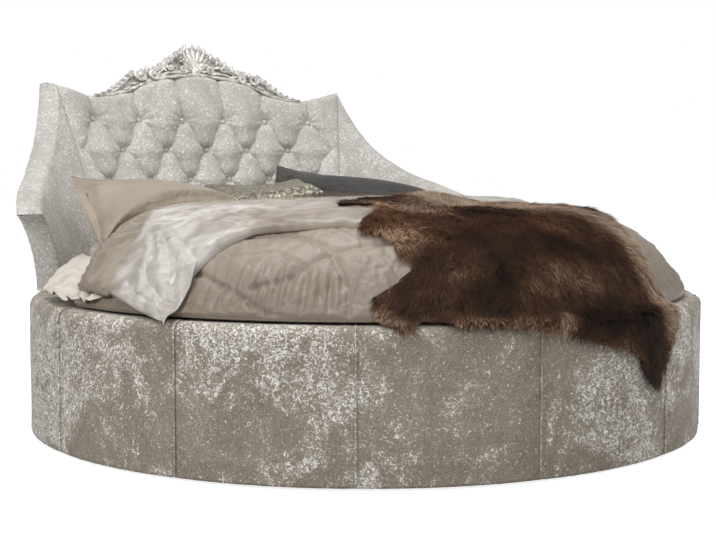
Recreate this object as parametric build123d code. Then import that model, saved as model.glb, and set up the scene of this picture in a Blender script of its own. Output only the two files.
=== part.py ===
# Round upholstered bed with a winged, deep-buttoned headboard, its mattress
# and the bedding that lies on it. All lengths are in millimetres.
# The drum axis is the Z axis, the floor is at zero, the headboard is at +Y
# and the foot of the bed is at -Y. Angles are in degrees from +Y toward +X.

import os
from math import cos, exp, hypot, pi, radians, sin

from build123d import *

os.makedirs("parts", exist_ok=True)

# Sizes of the drum.
drum_radius = 1165
cover_thickness = 2
side_foam = 18
skin_thickness = 5
glide_height = 10
glide_radius = 22
glide_count = 8
center_foot_radius = 45
frame_floor = glide_height
ring_thickness = 18
ring_width = 130
deck_top = 436
deck_thickness = 12
rim_top = 458
rim_round = 30
rim_inner_round = 15
rim_inner_radius = 975
upright_width = 40
upright_depth = 60
upright_angles = [8, 31, 58, 80]
rail_thickness = 38
joist_thickness = 38
joist_height = 150
joist_offsets = [-760, -330, 330, 760]
bolt_radius = 5
bolt_head_radius = 9
bolt_head_height = 7
nut_height = 9
washer_play = 0.2
split_bolt_offsets = [-900, 0, 900]
split_bolt_height = 330
cloth_thickness = 1
seam_cord_radius = 2.5
seam_turn = -1.6
seam_angles = [13.7, 40.3, 66.8, 93.4, 122.3, 151.1]
seam_gap = 0.1
cord_clear_angle = 66

# Sizes of the headboard.
board_thickness = 82
pad_depth = 32
core_depth = 18
back_cover_depth = 2
layer_gap = 0.8
cap_gap = 1
top_cap = 14
center_face_radius = 1005
wing_face_radius = 1075
blend_start = 4
blend_width = 40
center_lean_start = 595
center_lean_curve = 0.000521
center_lean_line = 854
center_lean_base = 35
center_lean_slope = 0.27
wing_flare_start = 500
wing_flare_curve = 0.00091960
wing_flare_line = 699
wing_flare_base = 36.4
wing_flare_slope = 0.366
ear_angle = 32
wing_end_angle = 56
straight_share = 0.15
seam_angle_gap = 0.02
# Height of the padded top edge under the carved crest and out to the ear.
center_top = [(0, 1270), (3.9, 1263), (7.5, 1254), (11.2, 1240), (14.3, 1214), (16.8, 1192),
              (20.8, 1174), (24.4, 1170), (28.2, 1190), (32, 1214)]
# Height of the swept top edge of a wing from the ear to the tip.
wing_top = [(32, 1214), (33, 1166), (34, 1124), (36, 1052), (38.8, 976), (41.8, 923),
            (46, 867), (49, 840), (52.5, 815), (56, 788)]
# The wing's front edge draws back under its tip: angle, lower end, upper end.
tip_edge = [(56, 460, 788), (56.6, 512, 783), (57.5, 570, 776), (58.7, 640, 766),
            (60.1, 690, 754), (61.8, 722, 742), (62.8, 731, 736)]

# Deep buttoning.
tuft_half_pitch = 5.1
tuft_row_height = 1080
tuft_row_pitch = 120
tuft_rows = 4
tuft_columns = 6
puff_height = 15
groove_depth = 6
dimple_depth = 12
dimple_width = 26
puff_power = 0.8
tuft_reach = 32.5
waste_reach = 300
pocket_reach = 60
button_radius = 11
button_height = 9
pocket_play = 0.3
pocket_depth = 20

# Carved crest: height of its top edge by angle.
crest_top = [(0, 1408), (1.4, 1399), (3.8, 1374), (6, 1349), (7.5, 1329), (9, 1312),
             (11, 1292), (12.9, 1297), (14.4, 1282), (16.3, 1256), (18, 1236), (19.9, 1209),
             (21.3, 1194), (22.7, 1186), (24.3, 1182)]
crest_front = 4
crest_depth = 40
crest_sink = 4

# Brackets that hold the headboard on the deck.
bracket_angles = [-46, -27, -7, 7, 27, 46]
bracket_width = 60
bracket_thickness = 3
bracket_rise = 110
bracket_reach = 26
bracket_clear = 1.2
bracket_bolt_radius = 4
bracket_bolt_length = 50

# Mattress and bedding.
mattress_radius = 962
mattress_core_radius = 890
mattress_core_base = 452
mattress_core_top = 600
ticking_thickness = 2
sheet_thickness = 1
sheet_floor = 520
piping_radius = 4
duvet_thickness = 34
rest_gap = 0.7
bedding_path = [(0, 755), (560, 751), (680, 746), (760, 738), (835, 720), (900, 690),
                (955, 658), (1000, 622), (1032, 587), (1062, 548), (1092, 508), (1120, 478)]
over_rim_path = [(1145, 466), (1165, 457), (1175, 430), (1175, 190)]
duvet_edge = [(1122, 465), (1090, 463)]
duvet_ring_start = 380
duvet_plug_radius = 420
plug_step = 1.5
fold_pitch = 12
fold_step = 3
fold_depth = 14
fold_from = 900
fold_full = 1062
fold_clear_angle = 257
fold_clear_half = 22
fold_clear_fade = 8
duvet_first_angle = 70
duvet_sweep = 220
duvet_head_edge = [(-1400, 20), (-1130, 30), (-985, 45), (-700, 70), (-275, 150), (250, 200),
                   (700, 130), (985, 60), (1130, 40), (1400, 30)]
turnback_thickness = 28
turnback_outline = [(-1085, 8), (-985, 45), (-700, 70), (-275, 150), (250, 200), (250, -250),
                    (-100, -470), (-400, -650), (-499, -701), (-667, -556), (-765, -464),
                    (-854, -438), (-934, -428), (-1014, -410), (-1072, -440), (-1058, -300),
                    (-1068, -150)]
flat_gap = 0.2
throw_thickness = 34
throw_step_margin = 16
throw_outline = [(-470, -180), (-300, -330), (-430, -560), (-462, -700), (-505, -790),
                 (-478, -850), (-560, -880), (-632, -864), (-655, -905), (-632, -975),
                 (-585, -960), (-540, -925), (-440, -1030), (-290, -1110), (-240, -1190),
                 (-110, -1195), (-20, -1215), (90, -1200), (180, -1215), (330, -1195),
                 (372, -1150), (385, -1000), (395, -880), (520, -720), (640, -480),
                 (600, -200), (330, -40), (60, 60), (-200, 20), (-330, -80)]
# Lowest height of the part of the hide that hangs over the rim.
throw_hang_low = 235

# Pillows: front edge point, back edge point and thickness of each section.
pillow_left_sections = [
    ((-978, 78, 603), (-893, 505, 872), 5),
    ((-952, 84, 640), (-865, 514, 868), 60),
    ((-880, 100, 700), (-790, 535, 858), 115),
    ((-740, 130, 752), (-660, 572, 842), 142),
    ((-600, 165, 772), (-520, 612, 824), 144),
    ((-450, 208, 774), (-372, 655, 802), 125),
    ((-345, 242, 765), (-262, 688, 782), 74),
    ((-292, 262, 748), (-214, 702, 764), 5),
]
pillow_dark_sections = [
    ((98, 718, 772), (300, 968, 900), 5),
    ((126, 695, 786), (328, 944, 898), 62),
    ((196, 634, 800), (400, 886, 888), 118),
    ((300, 545, 800), (505, 800, 868), 146),
    ((420, 445, 796), (625, 700, 842), 146),
    ((530, 352, 788), (735, 604, 814), 118),
    ((612, 282, 766), (814, 534, 786), 62),
    ((648, 252, 742), (848, 502, 762), 5),
]
cushion_gold_sections = [
    ((-203, 592, 752), (-192, 868, 822), 5),
    ((-183, 582, 764), (-168, 858, 830), 38),
    ((-108, 560, 790), (-88, 834, 848), 68),
    ((-8, 532, 818), (22, 806, 864), 72),
    ((92, 504, 842), (132, 778, 880), 68),
    ((166, 482, 856), (212, 754, 884), 38),
    ((186, 476, 856), (236, 748, 880), 5),
]
pillow_edge = 4
# How far each pillow sinks until it rests on what lies under it.
pillow_left_drop = 9.4
pillow_dark_drop = 30
cushion_gold_drop = 27


def at(radius, angle, height):
    # Point at a radius and an angle from the head of the bed.
    return Vector(radius * sin(radians(angle)), radius * cos(radians(angle)), height)


def smooth(share):
    share = min(max(share, 0), 1)
    return share * share * (3 - 2 * share)


def between(table, key):
    # Straight-line reading of a table of pairs.
    for (key_a, value_a), (key_b, value_b) in zip(table, table[1:]):
        if key <= key_b:
            return value_a + (value_b - value_a) * (key - key_a) / (key_b - key_a)
    return table[-1][1]


def face_radius(angle, height):
    # Front face of the headboard: nearly flat in the middle, flared on the wings.
    rise = height - center_lean_start
    center = center_face_radius + (center_lean_curve * max(rise, 0) ** 2)
    if height > center_lean_line:
        past = height - center_lean_line
        center = center_face_radius + center_lean_base + center_lean_slope * past
    flare = wing_flare_curve * max(height - wing_flare_start, 0) ** 2
    if height > wing_flare_line:
        flare = wing_flare_base + wing_flare_slope * (height - wing_flare_line)
    share = smooth((abs(angle) - blend_start) / blend_width)
    return center * (1 - share) + (wing_face_radius + flare) * share


def box_at(center, width, depth, height):
    return Pos(*center) * Box(width, depth, height)


def disc(radius, low, high):
    tall = high - low
    return Pos(0, 0, (low + high) / 2) * Cylinder(radius, tall)


def half(shape, side):
    # The front or the back half of a round shape.
    reach = drum_radius * 2
    return shape & box_at((0, side * reach / 2, 0), reach * 2, reach, reach * 2)


def turned(profile):
    # Ring turned from a closed profile of radius and height pairs.
    points = [(r, 0, z) for r, z in profile]
    return revolve(make_face(Polyline(*points, close=True)), Axis.Z)


# Radii and heights that follow from the sizes above.
skin_outer = drum_radius - cover_thickness - side_foam
ring_outer = skin_outer - skin_thickness
ring_inner = ring_outer - ring_width
ring_low_top = frame_floor + ring_thickness
ring_high_top = deck_top - deck_thickness
ring_high_floor = ring_high_top - ring_thickness
cloth_top = deck_top + cloth_thickness


def make_glides():
    ring = (ring_outer + ring_inner) / 2
    step = 360 / glide_count
    glides = [Pos(*at(ring, step * (i + 0.5), glide_height / 2))
              * Cylinder(glide_radius, glide_height) for i in range(glide_count)]
    foot = disc(center_foot_radius, 0, ring_low_top)
    return Compound(glides + [foot])


def make_ring(low, high):
    ring = disc(ring_outer, low, high) - disc(ring_inner, low, high)
    return Compound([half(ring, -1).solid(), half(ring, 1).solid()])


def make_uprights():
    posts = []
    middle = ring_outer - upright_depth / 2
    tall = ring_high_floor - ring_low_top
    for side in upright_angles:
        for angle in (side, -side, 180 - side, 180 + side):
            post = Box(upright_width, upright_depth, tall)
            spot = at(middle - upright_width * upright_width / (8 * ring_outer) - 1, angle,
                      ring_low_top + tall / 2)
            posts.append(Pos(*spot) * Rot(0, 0, -angle) * post)
    return Compound(posts)


def make_rails():
    reach = (ring_inner ** 2 - rail_thickness ** 2) ** 0.5 - washer_play
    tall = ring_high_top - ring_low_top
    rails = []
    for side in (-1, 1):
        rail = box_at((0, side * rail_thickness / 2, ring_low_top + tall / 2),
                      2 * reach, rail_thickness, tall)
        for offset in split_bolt_offsets:
            hole = Pos(offset, 0, split_bolt_height) * Rot(90, 0, 0) * Cylinder(
                bolt_radius + washer_play, rail_thickness * 3)
            rail = rail - hole
        rails.append(rail.solid())
    return Compound(rails)


def make_joists():
    joists = []
    for offset in joist_offsets:
        for side in (-1, 1):
            far = drum_radius
            deep = box_at((offset, side * (rail_thickness + far / 2),
                           ring_high_top - joist_height / 2),
                          joist_thickness, far, joist_height)
            upper = deep & disc(ring_inner - washer_play, ring_high_floor, ring_high_top)
            lower = deep & disc(ring_outer - 1, 0, ring_high_floor)
            joists.append((upper + lower).solid())
    return Compound(joists)


def make_split_bolts():
    bolts = []
    grip = rail_thickness
    for offset in split_bolt_offsets:
        shank = Pos(offset, -nut_height / 2, split_bolt_height) * Rot(90, 0, 0) * Cylinder(
            bolt_radius, 2 * grip + nut_height)
        head = Pos(offset, grip + bolt_head_height / 2, split_bolt_height) * Rot(
            90, 0, 0) * Cylinder(bolt_head_radius, bolt_head_height)
        bolts.append((shank + head).solid())
    return Compound(bolts)


def make_split_nuts():
    nuts = []
    for offset in split_bolt_offsets:
        hexagon = extrude(RegularPolygon(bolt_head_radius, 6), nut_height)
        hexagon = hexagon - Pos(0, 0, nut_height / 2) * Cylinder(bolt_radius, nut_height * 2)
        nuts.append((Pos(offset, -rail_thickness, split_bolt_height)
                     * Rot(90, 0, 0) * hexagon).solid())
    return Compound(nuts)


def bracket_frame(angle):
    # Frame at a bracket's foot, its Y axis pointing out of the bed.
    step = bracket_width / 2 / face_radius(angle, rim_top) * 180 / pi
    depth = pad_depth - bracket_clear
    before = at(face_radius(angle - step, rim_top) + depth, angle - step, rim_top)
    after = at(face_radius(angle + step, rim_top) + depth, angle + step, rim_top)
    return Plane(origin=(before + after) / 2, x_dir=(after - before).normalized(), z_dir=(0, 0, 1))


def bracket_holes(low, high, radius):
    # A bracket's bolt stands in the pad, in front of the plywood core.
    middle = (low + high) / 2
    return [bracket_frame(angle) * Pos(0, -bracket_reach / 2, middle - rim_top)
            * Cylinder(radius, high - low) for angle in bracket_angles]


def make_deck():
    deck = disc(ring_outer, ring_high_top, deck_top)
    for hole in bracket_holes(ring_high_top - 1, deck_top + 1,
                              bracket_bolt_radius + washer_play):
        deck = deck - hole
    return Compound([half(deck, -1).solid(), half(deck, 1).solid()])


def make_top_ring():
    ring = disc(ring_outer, ring_high_floor, ring_high_top)
    ring = ring - disc(ring_inner, ring_high_floor, ring_high_top)
    for hole in bracket_holes(ring_high_floor - 1, ring_high_top + 1,
                              bracket_bolt_radius + washer_play):
        ring = ring - hole
    return Compound([half(ring, -1).solid(), half(ring, 1).solid()])


def make_skin():
    skin = disc(skin_outer, frame_floor, deck_top) - disc(ring_outer, frame_floor, deck_top)
    return Compound([half(skin, -1).solid(), half(skin, 1).solid()])


def rim_profile(inset):
    # Outer line of the drum and its padded rim, set in by the inset.
    outer = drum_radius - inset
    top = rim_top - inset
    inner = rim_inner_radius + inset
    big = rim_round - inset
    small = rim_inner_round - inset
    big_x = outer - big
    big_z = top - big
    small_x = inner + small
    small_z = top - small
    slant = cos(pi / 4)
    return [
        Line((outer, 0, frame_floor), (outer, 0, big_z)),
        ThreePointArc((outer, 0, big_z), (big_x + big * slant, 0, big_z + big * slant),
                      (big_x, 0, top)),
        Line((big_x, 0, top), (small_x, 0, top)),
        ThreePointArc((small_x, 0, top), (small_x - small * slant, 0, small_z + small * slant),
                      (inner, 0, small_z)),
        Line((inner, 0, small_z), (inner, 0, deck_top)),
    ]


def make_drum_foam():
    inner = rim_inner_radius + cover_thickness
    closing = Polyline((inner, 0, deck_top), (skin_outer, 0, deck_top),
                       (skin_outer, 0, frame_floor),
                       (drum_radius - cover_thickness, 0, frame_floor))
    foam = revolve(make_face(Curve() + rim_profile(cover_thickness) + [closing]), Axis.Z)
    for hole in bracket_holes(deck_top - 1, rim_top, bracket_bolt_radius + washer_play):
        foam = foam - hole
    return foam.solid()


def make_drum_cover():
    lower = Line((drum_radius, 0, frame_floor), (drum_radius - cover_thickness, 0, frame_floor))
    upper = Line((rim_inner_radius, 0, deck_top), (rim_inner_radius + cover_thickness, 0, deck_top))
    lines = Curve() + rim_profile(0) + rim_profile(cover_thickness) + [lower, upper]
    cover = revolve(make_face(lines), Axis.Z)
    for hole in bracket_holes(rim_top - rim_round, rim_top + 1,
                              bracket_bolt_radius + washer_play):
        cover = cover - hole
    return cover.solid()


def make_dust_cover():
    # Cloth under the frame, with a hole for the foot under the two rails.
    low = ring_low_top - cloth_thickness
    hole = disc(center_foot_radius + washer_play, low, ring_low_top)
    return (disc(ring_inner - 1, low, ring_low_top) - hole).solid()


def make_deck_cloth():
    return disc(rim_inner_radius - washer_play, deck_top, cloth_top)


def make_seam_cords():
    cords = []
    path_radius = drum_radius + seam_gap + seam_cord_radius
    path_top = rim_top + seam_gap + seam_cord_radius
    turn_radius = rim_round + seam_gap + seam_cord_radius
    turn_x = drum_radius - rim_round
    turn_z = rim_top - rim_round
    slant = cos(pi / 4)
    rise = Line((path_radius, 0, frame_floor + 2), (path_radius, 0, turn_z))
    bend = ThreePointArc((path_radius, 0, turn_z),
                         (turn_x + turn_radius * slant, 0, turn_z + turn_radius * slant),
                         (turn_x, 0, path_top))
    section = Pos(path_radius, 0, frame_floor + 2) * Circle(seam_cord_radius)
    full_cord = sweep(section, path=Curve() + [rise, bend])
    short_cord = sweep(section, path=rise)
    for side in seam_angles:
        for angle in (180 - side, 180 + side):
            under_headboard = abs(180 - side) < cord_clear_angle
            cord = short_cord if under_headboard else full_cord
            cords.append((Rot(0, 0, 90 - angle - seam_turn) * cord).solid())
    return Compound(cords)


def section_lines(corners):
    # Closed planar line of straight and three-point pieces.
    pieces = []
    for kind, *points in corners:
        pieces.append(Line(*points) if kind == "line" else ThreePointArc(*points))
    return Wire(pieces)


def layer_section(angle, front, back, low, high):
    bend = low + (high - low) * straight_share
    middle = (bend + high) / 2

    def spot(depth, height):
        return at(face_radius(angle, height) + depth, angle, height)

    return section_lines([
        ("line", spot(front, low), spot(front, bend)),
        ("arc", spot(front, bend), spot(front, middle), spot(front, high)),
        ("line", spot(front, high), spot(back, high)),
        ("arc", spot(back, high), spot(back, middle), spot(back, bend)),
        ("line", spot(back, bend), spot(back, low)),
        ("line", spot(back, low), spot(front, low)),
    ])


def capped_section(angle, front, back, full, low, high):
    # Front pad that also covers the top edge of the board.
    bend = low + (high - low) * straight_share
    middle = (bend + high) / 2
    ledge = high - top_cap

    def spot(depth, height):
        return at(face_radius(angle, height) + depth, angle, height)

    crown = spot((front + full) / 2, high + top_cap / 3)
    back_bend = low + (ledge - low) * straight_share
    back_middle = (back_bend + ledge) / 2
    return section_lines([
        ("line", spot(front, low), spot(front, bend)),
        ("arc", spot(front, bend), spot(front, middle), spot(front, high)),
        ("arc", spot(front, high), crown, spot(full, high)),
        ("line", spot(full, high), spot(full, ledge)),
        ("line", spot(full, ledge), spot(back, ledge)),
        ("arc", spot(back, ledge), spot(back, back_middle), spot(back, back_bend)),
        ("line", spot(back, back_bend), spot(back, low)),
        ("line", spot(back, low), spot(front, low)),
    ])


def center_stations():
    right = [pair for pair in center_top]
    left = [(-angle, top) for angle, top in reversed(right[1:])]
    return left + right


def wing_stations(side):
    stations = [(side * angle, top) for angle, top in wing_top]
    first = side * (ear_angle + seam_angle_gap)
    stations[0] = (first, wing_top[0][1])
    return stations


def layer(stations, front, back, drop):
    sections = [layer_section(angle, front, back, rim_top, top - drop)
                for angle, top in stations]
    return Solid.make_loft(sections)


def capped(stations, front, back):
    sections = [capped_section(angle, front, back, board_thickness, rim_top, top)
                for angle, top in stations]
    return Solid.make_loft(sections)


core_front = pad_depth + layer_gap
core_back = pad_depth + core_depth
rear_front = core_back + layer_gap
rear_back = board_thickness - back_cover_depth - layer_gap
cap_drop = top_cap + cap_gap


def make_core(stations):
    return layer(stations, core_front, core_back, cap_drop)


def make_back_pad(stations):
    return layer(stations, rear_front, rear_back, cap_drop)


def make_back_cover(stations):
    return layer(stations, board_thickness - back_cover_depth, board_thickness, cap_drop)


def tuft_cell(angle, height):
    return angle / tuft_half_pitch, (height - tuft_row_height) / tuft_row_pitch


def tufts():
    # Angle and height of every button, row by row from the top.
    found = []
    for row in range(tuft_rows):
        first = 1 if row % 2 == 0 else 0
        for column in range(-tuft_columns, tuft_columns + 1):
            if (column - first) % 2 == 0:
                found.append((column * tuft_half_pitch, tuft_row_height - row * tuft_row_pitch))
    return found


def facing(angle, height, depth):
    # Frame on the front face: its Z axis points out of the pad, toward the bed.
    step = 10
    low = at(face_radius(angle, height - step), angle, height - step)
    high = at(face_radius(angle, height + step), angle, height + step)
    along = high - low
    side = Vector(cos(radians(angle)), -sin(radians(angle)), 0)
    out = side.cross(along).normalized()
    toward = Vector(-sin(radians(angle)), -cos(radians(angle)), 0)
    if out.dot(toward) < 0:
        out = out * -1
    spot = at(face_radius(angle, height), angle, height) - out * depth
    return Plane(origin=spot, x_dir=side, z_dir=out)


def tuft_depth(angle, height):
    # Depth of the buttoned face behind the plain face, less than zero in front.
    across = angle / tuft_half_pitch
    up = (height - tuft_row_height) / tuft_row_pitch
    up = min(max(up, 1 - tuft_rows), 0)
    puff = abs(cos(pi * (across + up) / 2) * cos(pi * (across - up) / 2)) ** puff_power
    dip = 0
    radius = face_radius(angle, height)
    for column, row in tufts():
        away = hypot(radians(angle - column) * radius, height - row)
        dip = dip + exp(-(away / dimple_width) ** 2)
    fade = smooth((tuft_reach - abs(angle)) / tuft_half_pitch)
    return fade * (groove_depth - puff_height * puff + dimple_depth * dip)


def tuft_grid(shift):
    # Points of the buttoned face on half steps of the diamonds.
    grid = []
    for row in range(-2 * tuft_rows - 3, 5):
        height = tuft_row_height + row * tuft_row_pitch / 2
        line = []
        for column in range(-2 * tuft_columns - 2, 2 * tuft_columns + 3):
            angle = column * tuft_half_pitch / 2
            spot = at(face_radius(angle, height) + tuft_depth(angle, height), angle, height)
            line.append(spot + Vector(0, shift, 0))
        grid.append(line)
    return grid


def triangle(a, b, c):
    return Face(Wire.make_polygon([a, b, c], close=True))


def pair_of_triangles(a, b, c, d, turned_over):
    # Splits a four-sided cell along one or the other diagonal.
    if turned_over:
        return [triangle(a, b, d), triangle(b, c, d)]
    return [triangle(a, b, c), triangle(a, c, d)]


def tuft_waste():
    # Everything in front of the buttoned face, bounded by flat triangles whose
    # long sides lie in the pleats between the buttons.
    face = tuft_grid(0)
    far = tuft_grid(-waste_reach)
    rows = len(face)
    columns = len(face[0])
    faces = []
    for r in range(rows - 1):
        for c in range(columns - 1):
            over = (r + c) % 2 == 0
            for grid in (face, far):
                faces += pair_of_triangles(grid[r][c], grid[r][c + 1], grid[r + 1][c + 1],
                                           grid[r + 1][c], over)
    for r in range(rows - 1):
        for c in (0, columns - 1):
            faces += pair_of_triangles(face[r][c], face[r + 1][c], far[r + 1][c], far[r][c], False)
    for c in range(columns - 1):
        for r in (0, rows - 1):
            faces += pair_of_triangles(face[r][c], face[r][c + 1], far[r][c + 1], far[r][c], False)
    return Solid(Shell(faces))


def make_tufted_pad():
    block = capped(center_stations(), -pad_depth, pad_depth)
    cuts = [tuft_waste()]
    for angle, height in tufts():
        plane = facing(angle, height, 0)
        cuts.append(plane * Pos(0, 0, pocket_reach / 2 - pocket_depth)
                    * Cylinder(button_radius + pocket_play, pocket_reach))
    cuts += bracket_boxes(bracket_clear)
    pad = block.cut(*cuts)
    return pad.solids().sort_by(SortBy.VOLUME)[-1]


def make_buttons():
    buttons = []
    for angle, height in tufts():
        plane = facing(angle, height, pocket_depth)
        body = Cylinder(button_radius, button_height, align=(Align.CENTER, Align.CENTER, Align.MIN))
        rim = body.edges().group_by(Axis.Z)[-1]
        buttons.append(plane * fillet(rim, button_height / 3))
    return Compound(buttons)


def bracket_boxes(play):
    # Room in the pad for each bracket and for its bolt head.
    reach = bracket_reach + play
    boxes = []
    for angle in bracket_angles:
        room = Pos(0, (play - reach) / 2, (bracket_rise + play) / 2) * Box(
            bracket_width + 2 * play, reach + play, bracket_rise + play)
        boxes.append(bracket_frame(angle) * room)
    return boxes


def make_brackets():
    brackets = []
    for angle in bracket_angles:
        frame = bracket_frame(angle)
        wall = Pos(0, -bracket_thickness / 2, bracket_rise / 2) * Box(
            bracket_width, bracket_thickness, bracket_rise)
        foot = Pos(0, -bracket_reach / 2, bracket_thickness / 2) * Box(
            bracket_width, bracket_reach, bracket_thickness)
        hole = Pos(0, -bracket_reach / 2, 0) * Cylinder(
            bracket_bolt_radius + washer_play, bracket_thickness * 3)
        brackets.append((frame * (wall + foot - hole)).solid())
    return Compound(brackets)


def make_bracket_bolts():
    bolts = []
    for angle in bracket_angles:
        shank = Pos(0, 0, bracket_thickness - bracket_bolt_length / 2) * Cylinder(
            bracket_bolt_radius, bracket_bolt_length)
        head = Pos(0, 0, bracket_thickness + bracket_bolt_radius / 2) * Cylinder(
            bracket_bolt_radius * 2, bracket_bolt_radius)
        place = bracket_frame(angle) * Pos(0, -bracket_reach / 2, 0)
        bolts.append((place * (shank + head)).solid())
    return Compound(bolts)


def make_wing_pad(side):
    pad = capped(wing_stations(side), 0, pad_depth)
    return pad.cut(*bracket_boxes(bracket_clear)).solid()


def make_wing_tip(side):
    sections = []
    for angle, low, high in tip_edge:
        turn = side * (angle + (seam_angle_gap if angle == wing_end_angle else 0))
        bend = low + (high - low) * straight_share
        middle = (bend + high) / 2

        def spot(depth, height, turn=turn):
            return at(face_radius(turn, height) + depth, turn, height)

        crown = spot(board_thickness / 2, high + top_cap / 3)
        sections.append(section_lines([
            ("line", spot(0, low), spot(0, bend)),
            ("line", spot(0, bend), spot(0, middle)),
            ("line", spot(0, middle), spot(0, high)),
            ("arc", spot(0, high), crown, spot(board_thickness, high)),
            ("line", spot(board_thickness, high), spot(board_thickness, middle)),
            ("line", spot(board_thickness, middle), spot(board_thickness, bend)),
            ("line", spot(board_thickness, bend), spot(board_thickness, low)),
            ("line", spot(board_thickness, low), spot(0, low)),
        ]))
    return Solid.make_loft(sections)


def crest_stations():
    left = [(-angle, top) for angle, top in reversed(crest_top[1:])]
    return left + crest_top


def make_crest():
    sections = []
    for angle, top in crest_stations():
        low = between(center_top, abs(angle)) - crest_sink
        back = crest_front + crest_depth

        def spot(depth, height, angle=angle):
            return at(face_radius(angle, height) + depth, angle, height)

        sections.append(Wire([
            Line(spot(crest_front, low), spot(crest_front, top)),
            Line(spot(crest_front, top), spot(back, top)),
            Line(spot(back, top), spot(back, low)),
            Line(spot(back, low), spot(crest_front, low)),
        ]))
    crest = Solid.make_loft(sections) - capped(center_stations(), -pad_depth, pad_depth)
    return crest.solids().sort_by(SortBy.VOLUME)[-1]


def outward(path, index):
    # Unit normal of a falling path at one of its points.
    before = path[max(index - 1, 0)]
    after = path[min(index + 1, len(path) - 1)]
    run = after[0] - before[0]
    drop = after[1] - before[1]
    size = hypot(run, drop)
    return -drop / size, run / size


def offset_path(path, distance):
    moved = []
    for index, (radius, height) in enumerate(path):
        away, up = outward(path, index)
        moved.append((max(radius + away * distance, 0) if index else 0, height + up * distance))
    return moved


def cut_path(path, reach):
    # Part of a falling path up to a radius.
    kept = []
    for (ra, za), (rb, zb) in zip(path, path[1:]):
        kept.append((ra, za))
        if rb >= reach:
            kept.append((reach, za + (zb - za) * (reach - ra) / (rb - ra)))
            return kept
    return path


def crown_path(depth, reach):
    return cut_path(offset_path(bedding_path, -depth), reach)


sheet_depth = duvet_thickness + rest_gap
ticking_depth = sheet_depth + sheet_thickness + flat_gap
foam_depth = ticking_depth + ticking_thickness + flat_gap
ticking_outer = mattress_radius - sheet_thickness - flat_gap
ticking_inner = ticking_outer - ticking_thickness


def make_mattress_core():
    return disc(mattress_core_radius, mattress_core_base, mattress_core_top)


def make_mattress_foam():
    reach = ticking_inner - flat_gap
    top = crown_path(foam_depth, reach)
    base = cloth_top + ticking_thickness
    inner = mattress_core_radius
    return turned(top + [(reach, base), (0, base), (0, mattress_core_base),
                         (inner, mattress_core_base), (inner, mattress_core_top),
                         (0, mattress_core_top)])


def make_mattress_cover():
    top = crown_path(ticking_depth, ticking_outer)
    under = crown_path(ticking_depth + ticking_thickness, ticking_inner)
    base = cloth_top
    shell = turned(top + [(ticking_outer, base), (0, base)])
    return (shell - turned(under + [(ticking_inner, base + ticking_thickness),
                                    (0, base + ticking_thickness)])).solid()


def make_sheet():
    top = crown_path(sheet_depth, mattress_radius)
    under = crown_path(sheet_depth + sheet_thickness, mattress_radius - sheet_thickness)
    inner = mattress_radius - sheet_thickness
    return turned(top + [(mattress_radius, sheet_floor), (inner, sheet_floor)]
                  + under[::-1])


def make_mattress_piping():
    ring = mattress_radius + piping_radius
    height = cloth_top + piping_radius * 3
    return Pos(0, 0, height) * Torus(ring - sheet_thickness, piping_radius)


def head_cutter():
    far = drum_radius * 3
    points = duvet_head_edge + [(duvet_head_edge[-1][0], far), (duvet_head_edge[0][0], far)]
    return extrude(make_face(Polyline(*points, close=True)), amount=far)


def fold_share(radius):
    return smooth((radius - fold_from) / (fold_full - fold_from))


def fold_amount(angle):
    # Folds press in between ridges, and stay clear of the turned-back corner.
    clear = smooth((abs(angle - fold_clear_angle) - fold_clear_half) / fold_clear_fade)
    wave = (1 - cos(2 * pi * angle / fold_pitch)) / 2
    return fold_depth * wave * clear


def make_duvet():
    top = cut_path(bedding_path, bedding_path[-1][0])
    outer = [(duvet_ring_start, between(top, duvet_ring_start))]
    outer += [pair for pair in top if pair[0] > duvet_ring_start]
    normals = [(0, 1)] + [outward(outer, index) for index in range(1, len(outer))]
    under = offset_path(bedding_path, -duvet_thickness)
    start = (duvet_ring_start, between(under, duvet_ring_start))
    inner = [start] + [pair for pair in under if duvet_ring_start < pair[0]
                       and pair[1] > duvet_edge[-1][1] + duvet_thickness]
    sections = []
    count = int(duvet_sweep / fold_step)
    for step in range(count + 1):
        angle = duvet_first_angle + step * fold_step
        amount = fold_amount(angle)
        line = []
        for (radius, height), (away, up) in zip(outer, normals):
            push = amount * fold_share(radius)
            line.append(at(radius - away * push, angle, height - up * push))
        for radius, height in duvet_edge:
            line.append(at(radius, angle, height))
        for radius, height in reversed(inner):
            line.append(at(radius, angle, height))
        sections.append(Wire.make_polygon(line, close=True))
    ring = Solid.make_loft(sections)
    plug = disc(duvet_plug_radius, bedding_path[0][1] - duvet_thickness + plug_step,
                between(top, duvet_plug_radius) - plug_step)
    return ((ring + plug) - head_cutter()).solid()


def over_rim(distance):
    return offset_path(bedding_path + over_rim_path, distance)


def draped_band(inner, outer):
    # Band of cloth that follows the bedding and the rim between two heights.
    return turned(over_rim(outer) + over_rim(inner)[::-1])


def plan_prism(outline, low, high):
    face = make_face(Polyline(*outline, close=True))
    return Pos(0, 0, low) * extrude(face, amount=high - low)


def make_turnback():
    band = draped_band(flat_gap, flat_gap + turnback_thickness)
    return (band & plan_prism(turnback_outline, rim_top, drum_radius)).solid()


def make_throw():
    low = throw_hang_low
    tall = drum_radius
    bottom = flat_gap + rest_gap
    band = draped_band(bottom, bottom + throw_thickness)
    raised = draped_band(turnback_thickness + bottom,
                         turnback_thickness + bottom + throw_thickness)
    zone = make_face(Polyline(*turnback_outline, close=True))
    zone = offset(zone, throw_step_margin)
    zone = extrude(zone, amount=tall)
    outline = plan_prism(throw_outline, low, tall)
    flat = (band - zone) & outline
    upper = raised & zone & outline
    hide = flat + upper
    return hide


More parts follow.
